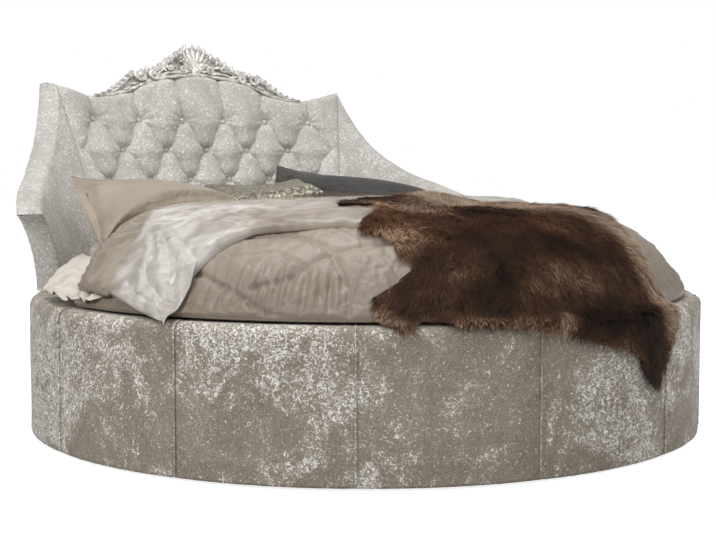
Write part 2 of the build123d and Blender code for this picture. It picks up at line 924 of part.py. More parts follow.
def lens(front, back, thickness, normal):
    # Cushion section: two bows between a front and a back seam.
    front = Vector(*front)
    back = Vector(*back)
    lift = normal * (thickness / 2)
    seam = normal * (pillow_edge / 2)
    middle = (front + back) / 2
    return Wire([
        ThreePointArc(front + seam, middle + lift, back + seam),
        Line(back + seam, back - seam),
        ThreePointArc(back - seam, middle - lift, front - seam),
        Line(front - seam, front + seam),
    ])


def cushion(sections, drop):
    lines = []
    for index, (front, back, thickness) in enumerate(sections):
        before = sections[max(index - 1, 0)]
        after = sections[min(index + 1, len(sections) - 1)]
        along = (Vector(*after[0]) + Vector(*after[1])) - (Vector(*before[0]) + Vector(*before[1]))
        normal = along.cross(Vector(*back) - Vector(*front)).normalized()
        if normal.Z < 0:
            normal = normal * -1
        lines.append(lens(front, back, thickness, normal))
    return Pos(0, 0, -drop) * Solid.make_loft(lines)


makers = {
    "floor_glides": make_glides,
    "ring_bottom": lambda: make_ring(frame_floor, ring_low_top),
    "ring_top": make_top_ring,
    "frame_uprights": make_uprights,
    "split_rails": make_rails,
    "deck_joists": make_joists,
    "split_bolts": make_split_bolts,
    "split_nuts": make_split_nuts,
    "deck_boards": make_deck,
    "drum_skin": make_skin,
    "dust_cover": make_dust_cover,
    "deck_cloth": make_deck_cloth,
    "drum_foam": make_drum_foam,
    "drum_cover": make_drum_cover,
    "drum_seam_cords": make_seam_cords,
    "core_center": lambda: make_core(center_stations()),
    "core_wing_left": lambda: make_core(wing_stations(-1)),
    "core_wing_right": lambda: make_core(wing_stations(1)),
    "tufted_pad": make_tufted_pad,
    "wing_pad_left": lambda: make_wing_pad(-1),
    "wing_pad_right": lambda: make_wing_pad(1),
    "wing_tip_left": lambda: make_wing_tip(-1),
    "wing_tip_right": lambda: make_wing_tip(1),
    "back_pad_center": lambda: make_back_pad(center_stations()),
    "back_pad_left": lambda: make_back_pad(wing_stations(-1)),
    "back_pad_right": lambda: make_back_pad(wing_stations(1)),
    "back_cover_center": lambda: make_back_cover(center_stations()),
    "back_cover_left": lambda: make_back_cover(wing_stations(-1)),
    "back_cover_right": lambda: make_back_cover(wing_stations(1)),
    "tuft_buttons": make_buttons,
    "headboard_brackets": make_brackets,
    "bracket_bolts": make_bracket_bolts,
    "crest": make_crest,
    "mattress_core": make_mattress_core,
    "mattress_foam": make_mattress_foam,
    "mattress_cover": make_mattress_cover,
    "mattress_piping": make_mattress_piping,
    "fitted_sheet": make_sheet,
    "duvet": make_duvet,
    "duvet_turnback": make_turnback,
    "fur_throw": make_throw,
    "pillow_left": lambda: cushion(pillow_left_sections, pillow_left_drop),
    "pillow_dark": lambda: cushion(pillow_dark_sections, pillow_dark_drop),
    "cushion_gold": lambda: cushion(cushion_gold_sections, cushion_gold_drop),
}

if __name__ == "__main__":
    for name, maker in makers.items():
        shape = maker()
        export_step(shape, "parts/" + name + ".step")
        print(name)
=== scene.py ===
from math import atan2, ceil, cos, degrees, exp, hypot, pi, radians, sin, sqrt

import bpy
import numpy as np
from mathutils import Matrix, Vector, noise


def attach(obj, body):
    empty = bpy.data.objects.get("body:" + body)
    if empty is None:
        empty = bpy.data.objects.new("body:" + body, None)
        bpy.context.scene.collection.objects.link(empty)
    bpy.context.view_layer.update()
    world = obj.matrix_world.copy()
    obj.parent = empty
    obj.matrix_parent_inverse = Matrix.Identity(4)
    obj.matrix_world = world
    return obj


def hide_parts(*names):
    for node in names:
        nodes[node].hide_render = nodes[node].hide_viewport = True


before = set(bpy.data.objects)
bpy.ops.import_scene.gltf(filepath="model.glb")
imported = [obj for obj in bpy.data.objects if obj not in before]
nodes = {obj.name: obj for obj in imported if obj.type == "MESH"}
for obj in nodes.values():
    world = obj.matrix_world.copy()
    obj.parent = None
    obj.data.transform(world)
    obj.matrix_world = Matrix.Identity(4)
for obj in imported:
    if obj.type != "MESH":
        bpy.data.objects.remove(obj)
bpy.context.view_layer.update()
print("frame loaded")


def blendShare(share):
    share = min(max(share, 0.0), 1.0)
    return share * share * (3 - 2 * share)


def readTable(table, key):
    if key <= table[0][0]:
        return table[0][1]
    for (keyA, valueA), (keyB, valueB) in zip(table, table[1:]):
        if key <= keyB:
            return valueA + (valueB - valueA) * (key - keyA) / (keyB - keyA)
    return table[-1][1]


def readCurve(table, key):
    # smooth reading through the table's values
    last = len(table) - 1
    if key <= table[0][0] or key >= table[last][0]:
        return readTable(table, key)
    i = 0
    while table[i + 1][0] < key:
        i += 1
    (k1, v1), (k2, v2) = table[i], table[i + 1]
    k0, v0 = table[max(i - 1, 0)]
    k3, v3 = table[min(i + 2, last)]
    slope1 = (v2 - v0) / (k2 - k0)
    slope2 = (v3 - v1) / (k3 - k1)
    span = k2 - k1
    s = (key - k1) / span
    return ((2 * s ** 3 - 3 * s ** 2 + 1) * v1 + (s ** 3 - 2 * s ** 2 + s) * span * slope1
            + (3 * s ** 2 - 2 * s ** 3) * v2 + (s ** 3 - s ** 2) * span * slope2)


def between(first, last, share):
    return first[0] + (last[0] - first[0]) * share, first[1] + (last[1] - first[1]) * share


def around(radius, angle, height):
    # angle in degrees from the head of the bed toward +X
    return Vector((radius * sin(radians(angle)), radius * cos(radians(angle)), height))


def wobble(spot, size, seed=0.0):
    return noise.noise(Vector((spot[0] / size + seed, spot[1] / size - seed, spot[2] / size)))


def clearSelection():
    if bpy.context.object and bpy.context.object.mode != "OBJECT":
        bpy.ops.object.mode_set(mode="OBJECT")
    bpy.ops.object.select_all(action="DESELECT")


def selectOnly(piece):
    clearSelection()
    piece.select_set(True)
    bpy.context.view_layer.objects.active = piece


def editAll(piece, *steps):
    selectOnly(piece)
    bpy.ops.object.mode_set(mode="EDIT")
    bpy.ops.mesh.select_all(action="SELECT")
    for step in steps:
        step()
    bpy.ops.object.mode_set(mode="OBJECT")


def weld():
    bpy.ops.mesh.remove_doubles(threshold=0.0002)


def closeEnds():
    bpy.ops.mesh.select_all(action="DESELECT")
    bpy.ops.mesh.select_non_manifold()
    bpy.ops.mesh.fill_holes(sides=0)
    bpy.ops.mesh.select_all(action="SELECT")


def outwards():
    bpy.ops.mesh.normals_make_consistent(inside=False)


def smoothFaces(piece, angle=None):
    selectOnly(piece)
    if angle is None:
        bpy.ops.object.shade_smooth()
    else:
        bpy.ops.object.shade_smooth_by_angle(angle=radians(angle))


def shapedGrid(name, across, along, place, closed=True):
    # a grid of rows and columns, each corner put where place(column, row) says
    clearSelection()
    bpy.ops.mesh.primitive_grid_add(x_subdivisions=across, y_subdivisions=along, size=1)
    piece = bpy.context.object
    piece.name = name
    piece.data.name = name
    for corner in piece.data.vertices:
        column = round((corner.co.x + 0.5) * across)
        row = round((corner.co.y + 0.5) * along)
        corner.co = place(column, row)
    if closed:
        editAll(piece, weld, closeEnds, outwards)
    smoothFaces(piece)
    return piece


def applyModifier(piece, kind, **settings):
    selectOnly(piece)
    step = piece.modifiers.new("step", kind)
    for key, value in settings.items():
        setattr(step, key, value)
    bpy.ops.object.modifier_apply(modifier=step.name)


def ringedShape(name, rings, closed=True):
    # a grid whose corners are given ring by ring
    return shapedGrid(name, len(rings) - 1, len(rings[0]) - 1,
                      lambda column, row: rings[column][row], closed)


def thicken(piece, thickness, offset=1.0):
    applyModifier(piece, "SOLIDIFY", thickness=thickness, offset=offset)
    editAll(piece, outwards)
    smoothFaces(piece)


def joined(name, parts):
    clearSelection()
    for part in parts:
        part.select_set(True)
    bpy.context.view_layer.objects.active = parts[0]
    bpy.ops.object.join()
    bpy.context.object.name = name
    return bpy.context.object


def dress(piece, body, slot, material, *replaced):
    piece.data.materials.clear()
    piece.data.materials.append(material)
    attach(piece, body)
    if replaced:
        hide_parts(*replaced)
    return piece


class Reading:
    # a number, colour or vector that leaves a node: maths on it adds Math nodes
    def __init__(self, recipe, socket):
        self.recipe = recipe
        self.socket = socket

    def maths(self, operation, first, second):
        return self.recipe.add("ShaderNodeMath", {"operation": operation}, {0: first, 1: second})

    def __add__(self, other):
        return self.maths("ADD", self, other)

    def __radd__(self, other):
        return self.maths("ADD", other, self)

    def __sub__(self, other):
        return self.maths("SUBTRACT", self, other)

    def __rsub__(self, other):
        return self.maths("SUBTRACT", other, self)

    def __mul__(self, other):
        return self.maths("MULTIPLY", self, other)

    def __rmul__(self, other):
        return self.maths("MULTIPLY", other, self)


class Recipe:
    # one material and the nodes that make it
    def __init__(self, name, **fixed):
        self.material = bpy.data.materials.new(name)
        self.material.use_nodes = True
        self.tree = self.material.node_tree
        self.shader = self.tree.nodes["Principled BSDF"]
        for key, value in fixed.items():
            self.shader.inputs[key.replace("_", " ")].default_value = value

    def add(self, kind, settings=None, values=None, out=0):
        node = self.tree.nodes.new(kind)
        for key, value in (settings or {}).items():
            setattr(node, key, value)
        for key, value in (values or {}).items():
            if isinstance(value, Reading):
                self.tree.links.new(value.socket, node.inputs[key])
            else:
                node.inputs[key].default_value = value
        return Reading(self, node.outputs[out])

    def feed(self, **links):
        for key, value in links.items():
            self.tree.links.new(value.socket, self.shader.inputs[key.replace("_", " ")])

    def spot(self, stretch=(1, 1, 1)):
        flat = self.add("ShaderNodeTexCoord", out=3)
        if stretch == (1, 1, 1):
            return flat
        return self.add("ShaderNodeVectorMath", {"operation": "MULTIPLY"}, {0: flat, 1: stretch})

    def cloud(self, scale, detail=4.0, rough=0.55, twist=0.0, spot=None):
        return self.add("ShaderNodeTexNoise", None, {
            "Vector": spot or self.spot(), "Scale": scale, "Detail": detail,
            "Roughness": rough, "Distortion": twist})

    def step(self, value, low, high, shadeLow=0.0, shadeHigh=1.0):
        return self.add("ShaderNodeMapRange", {"interpolation_type": "SMOOTHSTEP"}, {
            "Value": value, "From Min": low, "From Max": high,
            "To Min": shadeLow, "To Max": shadeHigh})

    def mix(self, share, first, second):
        first, second = ((*shade, 1) if isinstance(shade, tuple) else shade for shade in (first, second))
        return self.add("ShaderNodeMix", {"data_type": "RGBA"}, {0: share, 6: first, 7: second}, out=2)

    def raised(self, height, strength, depth):
        self.feed(Normal=self.add("ShaderNodeBump", None, {
            "Strength": strength, "Distance": depth, "Height": height}))


def crushedVelvet(name, deep, plain, crushed, cover, shine, clump=0.08, sparse=(0.565, 0.64)):
    # pile pressed flat in fine specks that gather in clouded patches
    made = Recipe(name, Sheen_Weight=0.12, Sheen_Roughness=0.4, IOR=1.35)
    wide = made.cloud(1.6, 2.0, 0.5, 0.6)
    patch = made.cloud(6.5, 6.0, 0.66, 1.1)
    speck = made.cloud(88.0, 5.0, 0.74, 1.5)
    grit = made.cloud(210.0, 3.0, 0.6, 0.6)
    clouded = made.step(wide * 0.45 + patch * 0.6, cover, cover + 0.13)
    marks = made.step(speck * 0.8 + grit * 0.2 + clouded * clump, *sparse)
    ground = made.mix(made.step(patch * 0.4 + grit * 0.6, 0.34, 0.64), deep, plain)
    made.feed(Base_Color=made.mix(marks, ground, crushed),
              Roughness=0.68 - marks * shine)
    made.raised(speck * 0.8 + marks * 0.5, 0.3, 0.004)
    return made.material


def satin(name, plain, deep, gloss, creased, low=0.0):
    # low: strength of the painted shade that deepens the colour lower down, where the cloth hangs down
    # the side
    made = Recipe(name, Sheen_Weight=0.15, Sheen_Roughness=0.35, Anisotropic=0.35)
    wide = made.cloud(2.2, 3.0, 0.5, 0.4)
    crease = made.cloud(16.0, 5.0, 0.6, 1.2, made.spot((1.0, 1.0, 0.45)))
    thread = made.cloud(900.0, 2.0, 0.5, 0.0, made.spot((1.0, 1.0, 0.2)))
    # random tone from the wide noise, and painted shade: the deep colour falls where the crease noise is
    # low, in the valleys of the crease bump
    shade = made.mix(made.step(wide * 0.6 + crease * 0.4, 0.35, 0.65), deep, plain)
    # painted shade: a dark brown mixed in more the lower the cloth hangs, from 0.72 m down to 0.48 m
    if low:
        height = made.add("ShaderNodeSeparateXYZ", None, {0: made.spot()}, out=2)
        share = made.step(height, 0.48, 0.72, low, 0.0)
        shade = made.mix(share, shade, (0.13, 0.095, 0.065))
    made.feed(Base_Color=shade, Roughness=gloss + crease * 0.12)
    made.raised(crease * creased + thread * 0.03, 0.6, 0.014)
    return made.material


def wovenCloth(name, plain, deep, size=420.0, rough=0.82):
    made = Recipe(name, Sheen_Weight=0.2, Roughness=rough)
    warp, weft = (made.add("ShaderNodeTexWave", {"bands_direction": direction}, {
        "Vector": made.spot(), "Scale": size, "Distortion": 0.6, "Detail": 1.0}) for direction in "XZ")
    soft = made.cloud(9.0, 4.0, 0.6, 0.5)
    made.feed(Base_Color=made.mix(soft * 0.8 + warp * weft * 0.3, deep, plain))
    made.raised(warp * 0.4 + weft * 0.4 + soft, 0.18, 0.002)
    return made.material


def plankWood(name, pale, dark, stretch, rough=0.62):
    made = Recipe(name, Specular_IOR_Level=0.3)
    grain = made.cloud(38.0, 6.0, 0.65, 1.4, made.spot(stretch))
    pores = made.cloud(190.0, 3.0, 0.6, 0.2, made.spot(stretch))
    made.feed(Base_Color=made.mix(made.step(grain * 0.8 + pores * 0.25, 0.35, 0.68), dark, pale),
              Roughness=rough + grain * 0.2)
    made.raised(grain * 0.5 + pores * 0.5, 0.2, 0.0015)
    return made.material


def brushedZinc(name):
    made = Recipe(name, Metallic=0.9)
    brushed = made.cloud(260.0, 4.0, 0.6, 0.0, made.spot((1.0, 1.0, 0.1)))
    dull = made.cloud(14.0, 3.0)
    made.feed(Base_Color=made.mix(dull, (0.42, 0.43, 0.44), (0.62, 0.63, 0.64)),
              Roughness=0.3 + brushed * 0.25)
    made.raised(brushed, 0.1, 0.0005)
    return made.material


def openFoam(name, plain, deep):
    made = Recipe(name, Roughness=0.9)
    cell = made.add("ShaderNodeTexVoronoi", None, {"Vector": made.spot(), "Scale": 420.0})
    age = made.cloud(3.0, 3.0)
    made.feed(Base_Color=made.mix(age * 0.7 + cell * 0.4, deep, plain))
    made.raised(cell, 0.35, 0.002)
    return made.material


def plainPlastic(name, shade):
    made = Recipe(name, Roughness=0.5)
    grit = made.cloud(300.0, 3.0)
    made.feed(Base_Color=made.mix(grit, shade, tuple(tone * 1.5 for tone in shade)))
    made.raised(grit, 0.2, 0.0008)
    return made.material


def silverLeaf(name):
    # thin leaf over carved wood, worn and dusky in patches spread by noise
    made = Recipe(name, IOR=1.6)
    wear = made.cloud(26.0, 6.0, 0.65, 0.8)
    spots = made.cloud(120.0, 4.0, 0.6, 0.4)
    age = made.step(wear * 0.7 + spots * 0.35, 0.42, 0.66)
    made.feed(Base_Color=made.mix(age, (0.80, 0.79, 0.76), (0.36, 0.335, 0.29)),
              Metallic=0.55 - age * 0.3, Roughness=0.3 + age * 0.35)
    made.raised(wear + spots * 0.5, 0.3, 0.003)
    return made.material


def sequins(name):
    made = Recipe(name, Specular_IOR_Level=0.8)
    cell, tint = (made.add("ShaderNodeTexVoronoi", None, {
        "Vector": made.spot(), "Scale": 150.0, "Randomness": 0.6}, out=out) for out in (0, 1))
    glint = made.cloud(75.0, 4.0, 0.7)
    shade = made.mix(made.step(glint, 0.4, 0.62), (0.07, 0.058, 0.038), (0.42, 0.38, 0.29))
    made.feed(Base_Color=made.mix(0.05, shade, tint), Metallic=made.step(glint, 0.45, 0.6) * 0.7,
              Roughness=0.55 - made.step(glint, 0.45, 0.65) * 0.3)
    made.raised(cell, 0.8, 0.003)
    return made.material


velvetDrum = crushedVelvet("velvetDrum", (0.172, 0.145, 0.111), (0.325, 0.282, 0.226),
                           (0.80, 0.78, 0.75), 0.45, 0.2)
velvetWelt = crushedVelvet("velvetWelt", (0.22, 0.19, 0.155), (0.33, 0.295, 0.25),
                           (0.80, 0.78, 0.74), 0.38, 0.2)
velvetBoard = crushedVelvet("velvetBoard", (0.36, 0.34, 0.312), (0.54, 0.515, 0.482),
                            (0.85, 0.83, 0.80), 0.46, 0.24, 0.035, (0.535, 0.635))
# duvetSatin's last number, 0.64, sets the painted shade down its hanging side
# in each satin the deep colour is partly random tone and partly painted shade in the crease valleys
duvetSatin = satin("duvetSatin", (0.335, 0.285, 0.23), (0.235, 0.193, 0.146), 0.36, 0.9, 0.64)
liningSatin = satin("liningSatin", (0.55, 0.515, 0.485), (0.29, 0.262, 0.235), 0.24, 1.5)
sheetCotton = wovenCloth("sheetCotton", (0.63, 0.58, 0.51), (0.53, 0.48, 0.42))
tickingCloth = wovenCloth("tickingCloth", (0.80, 0.78, 0.74), (0.70, 0.68, 0.64), 300.0)
blackCloth = wovenCloth("blackCloth", (0.03, 0.03, 0.03), (0.012, 0.012, 0.012), 300.0)
pillowCotton = satin("pillowCotton", (0.34, 0.285, 0.22), (0.265, 0.22, 0.165), 0.5, 0.5)
slateCloth = satin("slateCloth", (0.046, 0.042, 0.04), (0.024, 0.022, 0.021), 0.6, 0.6)
flangeCloth = satin("flangeCloth", (0.055, 0.038, 0.028), (0.02, 0.017, 0.015), 0.5, 0.6)
sequinCloth = sequins("sequinCloth")
leafSilver = silverLeaf("leafSilver")
plyWood = plankWood("plyWood", (0.56, 0.40, 0.24), (0.40, 0.26, 0.14), (0.15, 1.0, 1.0))
pineWood = plankWood("pineWood", (0.62, 0.45, 0.26), (0.46, 0.30, 0.16), (1.0, 1.0, 0.12))
bentBoard = plankWood("bentBoard", (0.20, 0.125, 0.07), (0.13, 0.08, 0.045), (1.0, 1.0, 1.0))
zincSteel = brushedZinc("zincSteel")
paddingFoam = openFoam("paddingFoam", (0.74, 0.72, 0.60), (0.62, 0.58, 0.44))
glidePlastic = plainPlastic("glidePlastic", (0.02, 0.02, 0.02))

finishes = (
    (glidePlastic, ["floor_glides"]),
    (plyWood, ["ring_bottom", "ring_top", "deck_boards", "core_center", "core_wing_left",
               "core_wing_right"]),
    (pineWood, ["frame_uprights", "split_rails", "deck_joists"]),
    (bentBoard, ["drum_skin"]),
    (blackCloth, ["dust_cover", "deck_cloth"]),
    (paddingFoam, ["drum_foam", "back_pad_center", "back_pad_left", "back_pad_right",
                   "mattress_foam"]),
    (zincSteel, ["split_bolts", "split_nuts", "headboard_brackets", "bracket_bolts"]),
    (tickingCloth, ["mattress_core", "mattress_piping"]),
    (velvetWelt, ["drum_seam_cords"]),
)
for finish, names in finishes:
    for name in names:
        for slot in nodes[name].material_slots:
            slot.material = finish
print("materials made")


# the headboard's shape in millimetres and degrees, as the frame has it
board = {
    "foot": 458, "thickness": 82, "earAngle": 32, "wingEnd": 56, "wingTip": 62.8,
    "seamGap": 0.03, "seamWidth": 0.55, "seamDepth": 7, "roll": 20, "backRoll": 8, "tipRoll": 12,
    "centreTop": [(0, 1270), (3.9, 1263), (7.5, 1254), (11.2, 1240), (14.3, 1214), (16.8, 1192),
                  (20.8, 1174), (24.4, 1170), (28.2, 1190), (32, 1214)],
    "wingTop": [(32, 1214), (33, 1166), (34, 1124), (36, 1052), (38.8, 976), (41.8, 923),
                (46, 867), (49, 840), (52.5, 815), (56, 788), (57.5, 776), (58.7, 766),
                (60.1, 754), (61.8, 742), (62.8, 736)],
    "wingLow": [(56, 460), (56.6, 512), (57.5, 570), (58.7, 640), (60.1, 690), (61.8, 722),
                (62.8, 731)],
    "pitch": 5.1, "firstRow": 1080, "rowPitch": 120, "rows": 4,
    "puff": 33, "pleat": 15, "dimple": 15, "dimpleWidth": 17, "buttonReach": 110,
}


def faceRadius(angle, height):
    # front of the headboard: nearly flat in the middle, flared on the wings
    centre = 1005 + 0.000521 * max(height - 595, 0) ** 2
    if height > 854:
        centre = 1040 + 0.27 * (height - 854)
    flare = 0.0009196 * max(height - 500, 0) ** 2
    if height > 699:
        flare = 36.4 + 0.366 * (height - 699)
    share = blendShare((abs(angle) - 4) / 40)
    return centre * (1 - share) + (1075 + flare) * share


def boardRadius(angle, height, low, high):
    # the frame's loft bends each section through three points
    bend = low + (high - low) * 0.15
    middle = (bend + high) / 2
    if height <= bend or high - bend < 60:
        return faceRadius(angle, height)
    a, b, c = (faceRadius(angle, z) for z in (bend, middle, high))
    return (a * (height - middle) * (height - high) / ((bend - middle) * (bend - high))
            + b * (height - bend) * (height - high) / ((middle - bend) * (middle - high))
            + c * (height - bend) * (height - middle) / ((high - bend) * (high - middle)))


def boardTop(angle):
    turn = abs(angle)
    return readTable(board["centreTop"] if turn <= board["earAngle"] else board["wingTop"], turn)


def buttonPlaces():
    places = []
    for row in range(board["rows"]):
        first = 1 if row % 2 == 0 else 0
        for column in range(-6, 7):
            if (column - first) % 2 == 0:
                places.append((column * board["pitch"], board["firstRow"] - row * board["rowPitch"]))
    return places


def tuftRelief(angle, height):
    # how far the buttoned face stands in front of the plain one
    across = angle / board["pitch"]
    up = (height - board["firstRow"]) / board["rowPitch"]
    lowest = 1 - board["rows"]
    if up > 0 or up < lowest:
        # upright pleats above the top buttons and below the last ones
        beyond = up if up > 0 else lowest - up
        fold = across + (0.10 * sin(up * 3.0) * cos(across * 2.1) if up > 0 else 1)
        puff = abs(cos(pi * fold / 2)) ** (1.02 - 0.52 * blendShare(beyond / 0.45))
    else:
        # diamonds, fuller and lower on their underside
        lean = 0.11 * sin(2 * pi * up)
        first = abs(cos(pi * (across + up + lean) / 2))
        second = abs(cos(pi * (across - up - lean) / 2))
        puff = first ** 0.42 * second ** 0.6
    relief = board["puff"] * puff - board["pleat"]
    radius = 1050
    for column, row in buttonPlaces():
        sideways = radians(angle - column) * radius
        upward = height - row
        if max(abs(sideways), abs(upward)) > board["buttonReach"]:
            continue
        away = hypot(sideways, upward)
        relief -= board["dimple"] * exp(-(away / board["dimpleWidth"]) ** 2)
        turn = atan2(upward, sideways)
        ray = abs(sin(turn * 4.5 + column * 1.7 + row * 0.05 + 1.5 * wobble((turn, column, row), 1.0)))
        relief += 4.6 * (ray ** 0.6 - 0.75) * exp(-((away - 34) / 22) ** 2)
    fade = blendShare((board["earAngle"] + 0.4 - abs(angle)) / board["pitch"])
    return relief * fade


def boardRing(angle, relief, counts):
    # one upright section: front, rolled edge, top, back and underside
    front, back = counts
    turn = abs(angle)
    top = boardTop(angle)
    onTip = turn > board["wingEnd"]
    low = readTable(board["wingLow"], turn) if onTip else board["foot"]
    thick, backRoll = board["thickness"], board["backRoll"]
    roll = min(board["roll"], (top - low) * 0.3)
    under = min(board["tipRoll"], (top - low) * 0.2) if onTip else 0
    spots = []

    def put(depth, height):
        radius = boardRadius(angle, height, board["foot"], top)
        spots.append(around((radius + depth) / 1000, angle, height / 1000))

    for i in range(front + 1):
        height = low + under + (top - roll - low - under) * i / front
        put(-relief(angle, height), height)
    edge = -relief(angle, top - roll)
    for i in range(1, 6):
        bend = pi / 2 * i / 5
        put(edge + roll * (1 - cos(bend)), top - roll + roll * sin(bend))
    for i in range(1, 7):
        share = i / 7
        put(edge + roll + (thick - backRoll - edge - roll) * share, top + 4.5 * sin(pi * share))
    for i in range(4):
        bend = pi / 2 * i / 3
        put(thick - backRoll + backRoll * sin(bend), top - backRoll + backRoll * cos(bend))
    for i in range(1, back + 1):
        share = i / back
        height = top - backRoll - (top - backRoll - low - under) * share
        crown = wobble((angle * 0.06, height * 0.004, 3.0), 1.0) ** 2
        put(thick + 1 + 5.0 * sin(pi * min(share * 1.02, 1.0)) ** 0.5 * crown, height)
    for i in range(1, 9):
        share = i / 8
        bend = pi * share
        swell = under * (1 - abs(sin(bend)) ** 0.6)
        put(thick - (relief(angle, low + under) + thick) * share, low + swell)
    spots[-1] = spots[0].copy()
    return spots


def seamRelief(angle):
    # how far the velvet is drawn in at the seams beside the buttons
    return -board["seamDepth"] * exp(-((abs(angle) - board["earAngle"]) / board["seamWidth"]) ** 2)


def wingRelief(angle, height):
    # smooth padding
    soft = wobble((angle * 0.09, height * 0.0035, 1.0), 1.0, 4.0) * 5.0
    crease = abs(wobble((angle * 0.35, height * 0.0022, 0.0), 1.0, 9.0)) * 3.0
    share = blendShare((abs(angle) - board["earAngle"]) / 3)
    return (3.0 + soft - crease) * share + seamRelief(angle)


def centreRelief(angle, height):
    return tuftRelief(angle, height) + seamRelief(angle)


def boardPiece(name, first, last, across, relief, counts):
    rings = [boardRing(first + (last - first) * i / across, relief, counts)
             for i in range(across + 1)]
    return ringedShape(name, rings)


fine = 1
middleEnd, wingStart = (board["earAngle"] + board["seamGap"] * side for side in (-1, 1))
tuftedVelvet = boardPiece("tufted_velvet", -middleEnd, middleEnd, int(315 * fine), centreRelief,
                          (int(215 * fine), 26))
dress(tuftedVelvet, "base", "velvet_headboard", velvetBoard, "tufted_pad", "back_cover_center")
for sideName, side in (("left", -1), ("right", 1)):
    wing = boardPiece("wing_velvet_" + sideName, side * wingStart, side * board["wingTip"],
                      int(110 * fine), wingRelief, (int(100 * fine), int(60 * fine)))
    dress(wing, "base", "velvet_headboard", velvetBoard, "wing_pad_" + sideName,
          "wing_tip_" + sideName, "back_cover_" + sideName)
print("headboard made")


button = {"radius": 0.0125, "flatten": 0.62, "sunk": 0.021, "dent": 0.0012, "dentRadius": 0.004,
          "back": -0.003}


def makeButtons():
    clearSelection()
    bpy.ops.mesh.primitive_uv_sphere_add(segments=18, ring_count=10, radius=button["radius"])
    model = bpy.context.object
    editAll(model, lambda: bpy.ops.transform.resize(value=(1, 1, button["flatten"])))
    for corner in model.data.vertices:
        away = hypot(corner.co.x, corner.co.y)
        if corner.co.z > 0 and away < button["dentRadius"]:
            corner.co.z -= button["dent"] * (1 - away / button["dentRadius"])
        corner.co.z = max(corner.co.z, button["back"])
    copies = []
    for angle, height in buttonPlaces():
        copy = model.copy()
        copy.data = model.data.copy()
        bpy.context.collection.objects.link(copy)
        radius = boardRadius(angle, height, board["foot"], boardTop(angle)) / 1000
        spot = around(radius + button["sunk"], angle, height / 1000)
        above, below = (boardRadius(angle, height + step, board["foot"], boardTop(angle))
                        for step in (20, -20))
        lean = atan2(above - below, 40)
        toward = -around(cos(lean), angle, -sin(lean))
        turn = toward.to_track_quat("Z", "Y")
        for corner in copy.data.vertices:
            corner.co = turn @ corner.co + spot
        copies.append(copy)
    bpy.data.objects.remove(model)
    buttons = joined("velvet_buttons", copies)
    smoothFaces(buttons)
    return buttons


dress(makeButtons(), "base", "velvet_button", velvetBoard, "tuft_buttons")
print("buttons made")


drum = {"radius": 1165, "top": 458, "round": 30, "inner": 975, "innerRound": 15, "deck": 437,
        "foot": 10, "hem": 60, "seams": [13.7, 40.3, 66.8, 93.4, 122.3, 151.1], "seamTurn": -1.6,
        "gather": 3.2, "bulge": 3.0}


def seamPlaces():
    return sorted(180 + sign * side + drum["seamTurn"]
                  for side in drum["seams"] for sign in (-1, 1))


def drumProfile():
    # radius, height and share of free cloth, from the recess over the rim to the hem
    outer, top, roll = drum["radius"], drum["top"], drum["round"]
    inner, innerRoll, deck = drum["inner"], drum["innerRound"], drum["deck"]
    flat = outer - roll - inner - innerRoll
    line = [(inner, deck, 0), (inner, deck + 5, 0)]
    for i in range(5):
        bend = pi / 2 * i / 4
        line.append((inner + innerRoll * (1 - cos(bend)), top - innerRoll * (1 - sin(bend)), 0.1))
    for i in range(1, 12):
        line.append((inner + innerRoll + flat * i / 12, top, 0.4))
    for i in range(9):
        bend = pi / 2 * i / 8
        line.append((outer - roll * (1 - sin(bend)), top - roll * (1 - cos(bend)), 0.7))
    for i in range(1, 51):
        line.append((outer, top - roll - (top - roll - drum["foot"]) * i / 50, 1))
    # back up inside the cloth
    line += [(outer - 6, drum["foot"], 0), (outer - 6, drum["hem"], 0), (outer - 8, top - 38, 0),
             (outer - 33, top - 7, 0), (inner + 20, top - 7, 0), (inner + 6, deck + 4, 0),
             (inner + 6, deck, 0)]
    return line


def makeDrumVelvet():
    profile = drumProfile()
    seams = seamPlaces()
    columns = int(900 * fine)
    rings = []
    for column in range(columns + 1):
        angle = 360 * column / columns
        gap = radians(min(abs((angle - seam + 180) % 360 - 180) for seam in seams)) * drum["radius"]
        near = exp(-gap / 16)
        ring = []
        for radius, height, free in profile:
            away = 0.0
            if free:
                ripple = sin(height / 7.5 + wobble((angle, height / 60, 0), 3.0) * 4) * near
                away = (-drum["gather"] * exp(-(gap / 9) ** 2) + 0.7 * ripple * min(gap / 12, 1)
                        + drum["bulge"] * (1 - exp(-gap / 90)) - 1.0) * free
                away += 1.6 * wobble((angle * 0.25, height * 0.006, 1), 1.0) * free
                if height < drum["hem"]:
                    loose = (drum["hem"] - height) / (drum["hem"] - drum["foot"])
                    away += 2.5 * wobble((angle * 0.9, 0, 2), 1.0) * loose
                away = max(away, -1.7)
            onRim = height > drum["top"] - 3
            up, out = (0.6 * away, 0) if onRim else (0, away)
            ring.append(around((radius + out) / 1000, angle, (height + up) / 1000))
        ring.append(ring[0].copy())
        rings.append(ring)
    return ringedShape("drum_velvet", rings)


drumVelvet = makeDrumVelvet()
dress(drumVelvet, "base", "velvet_drum", velvetDrum, "drum_cover")
print("drum made")


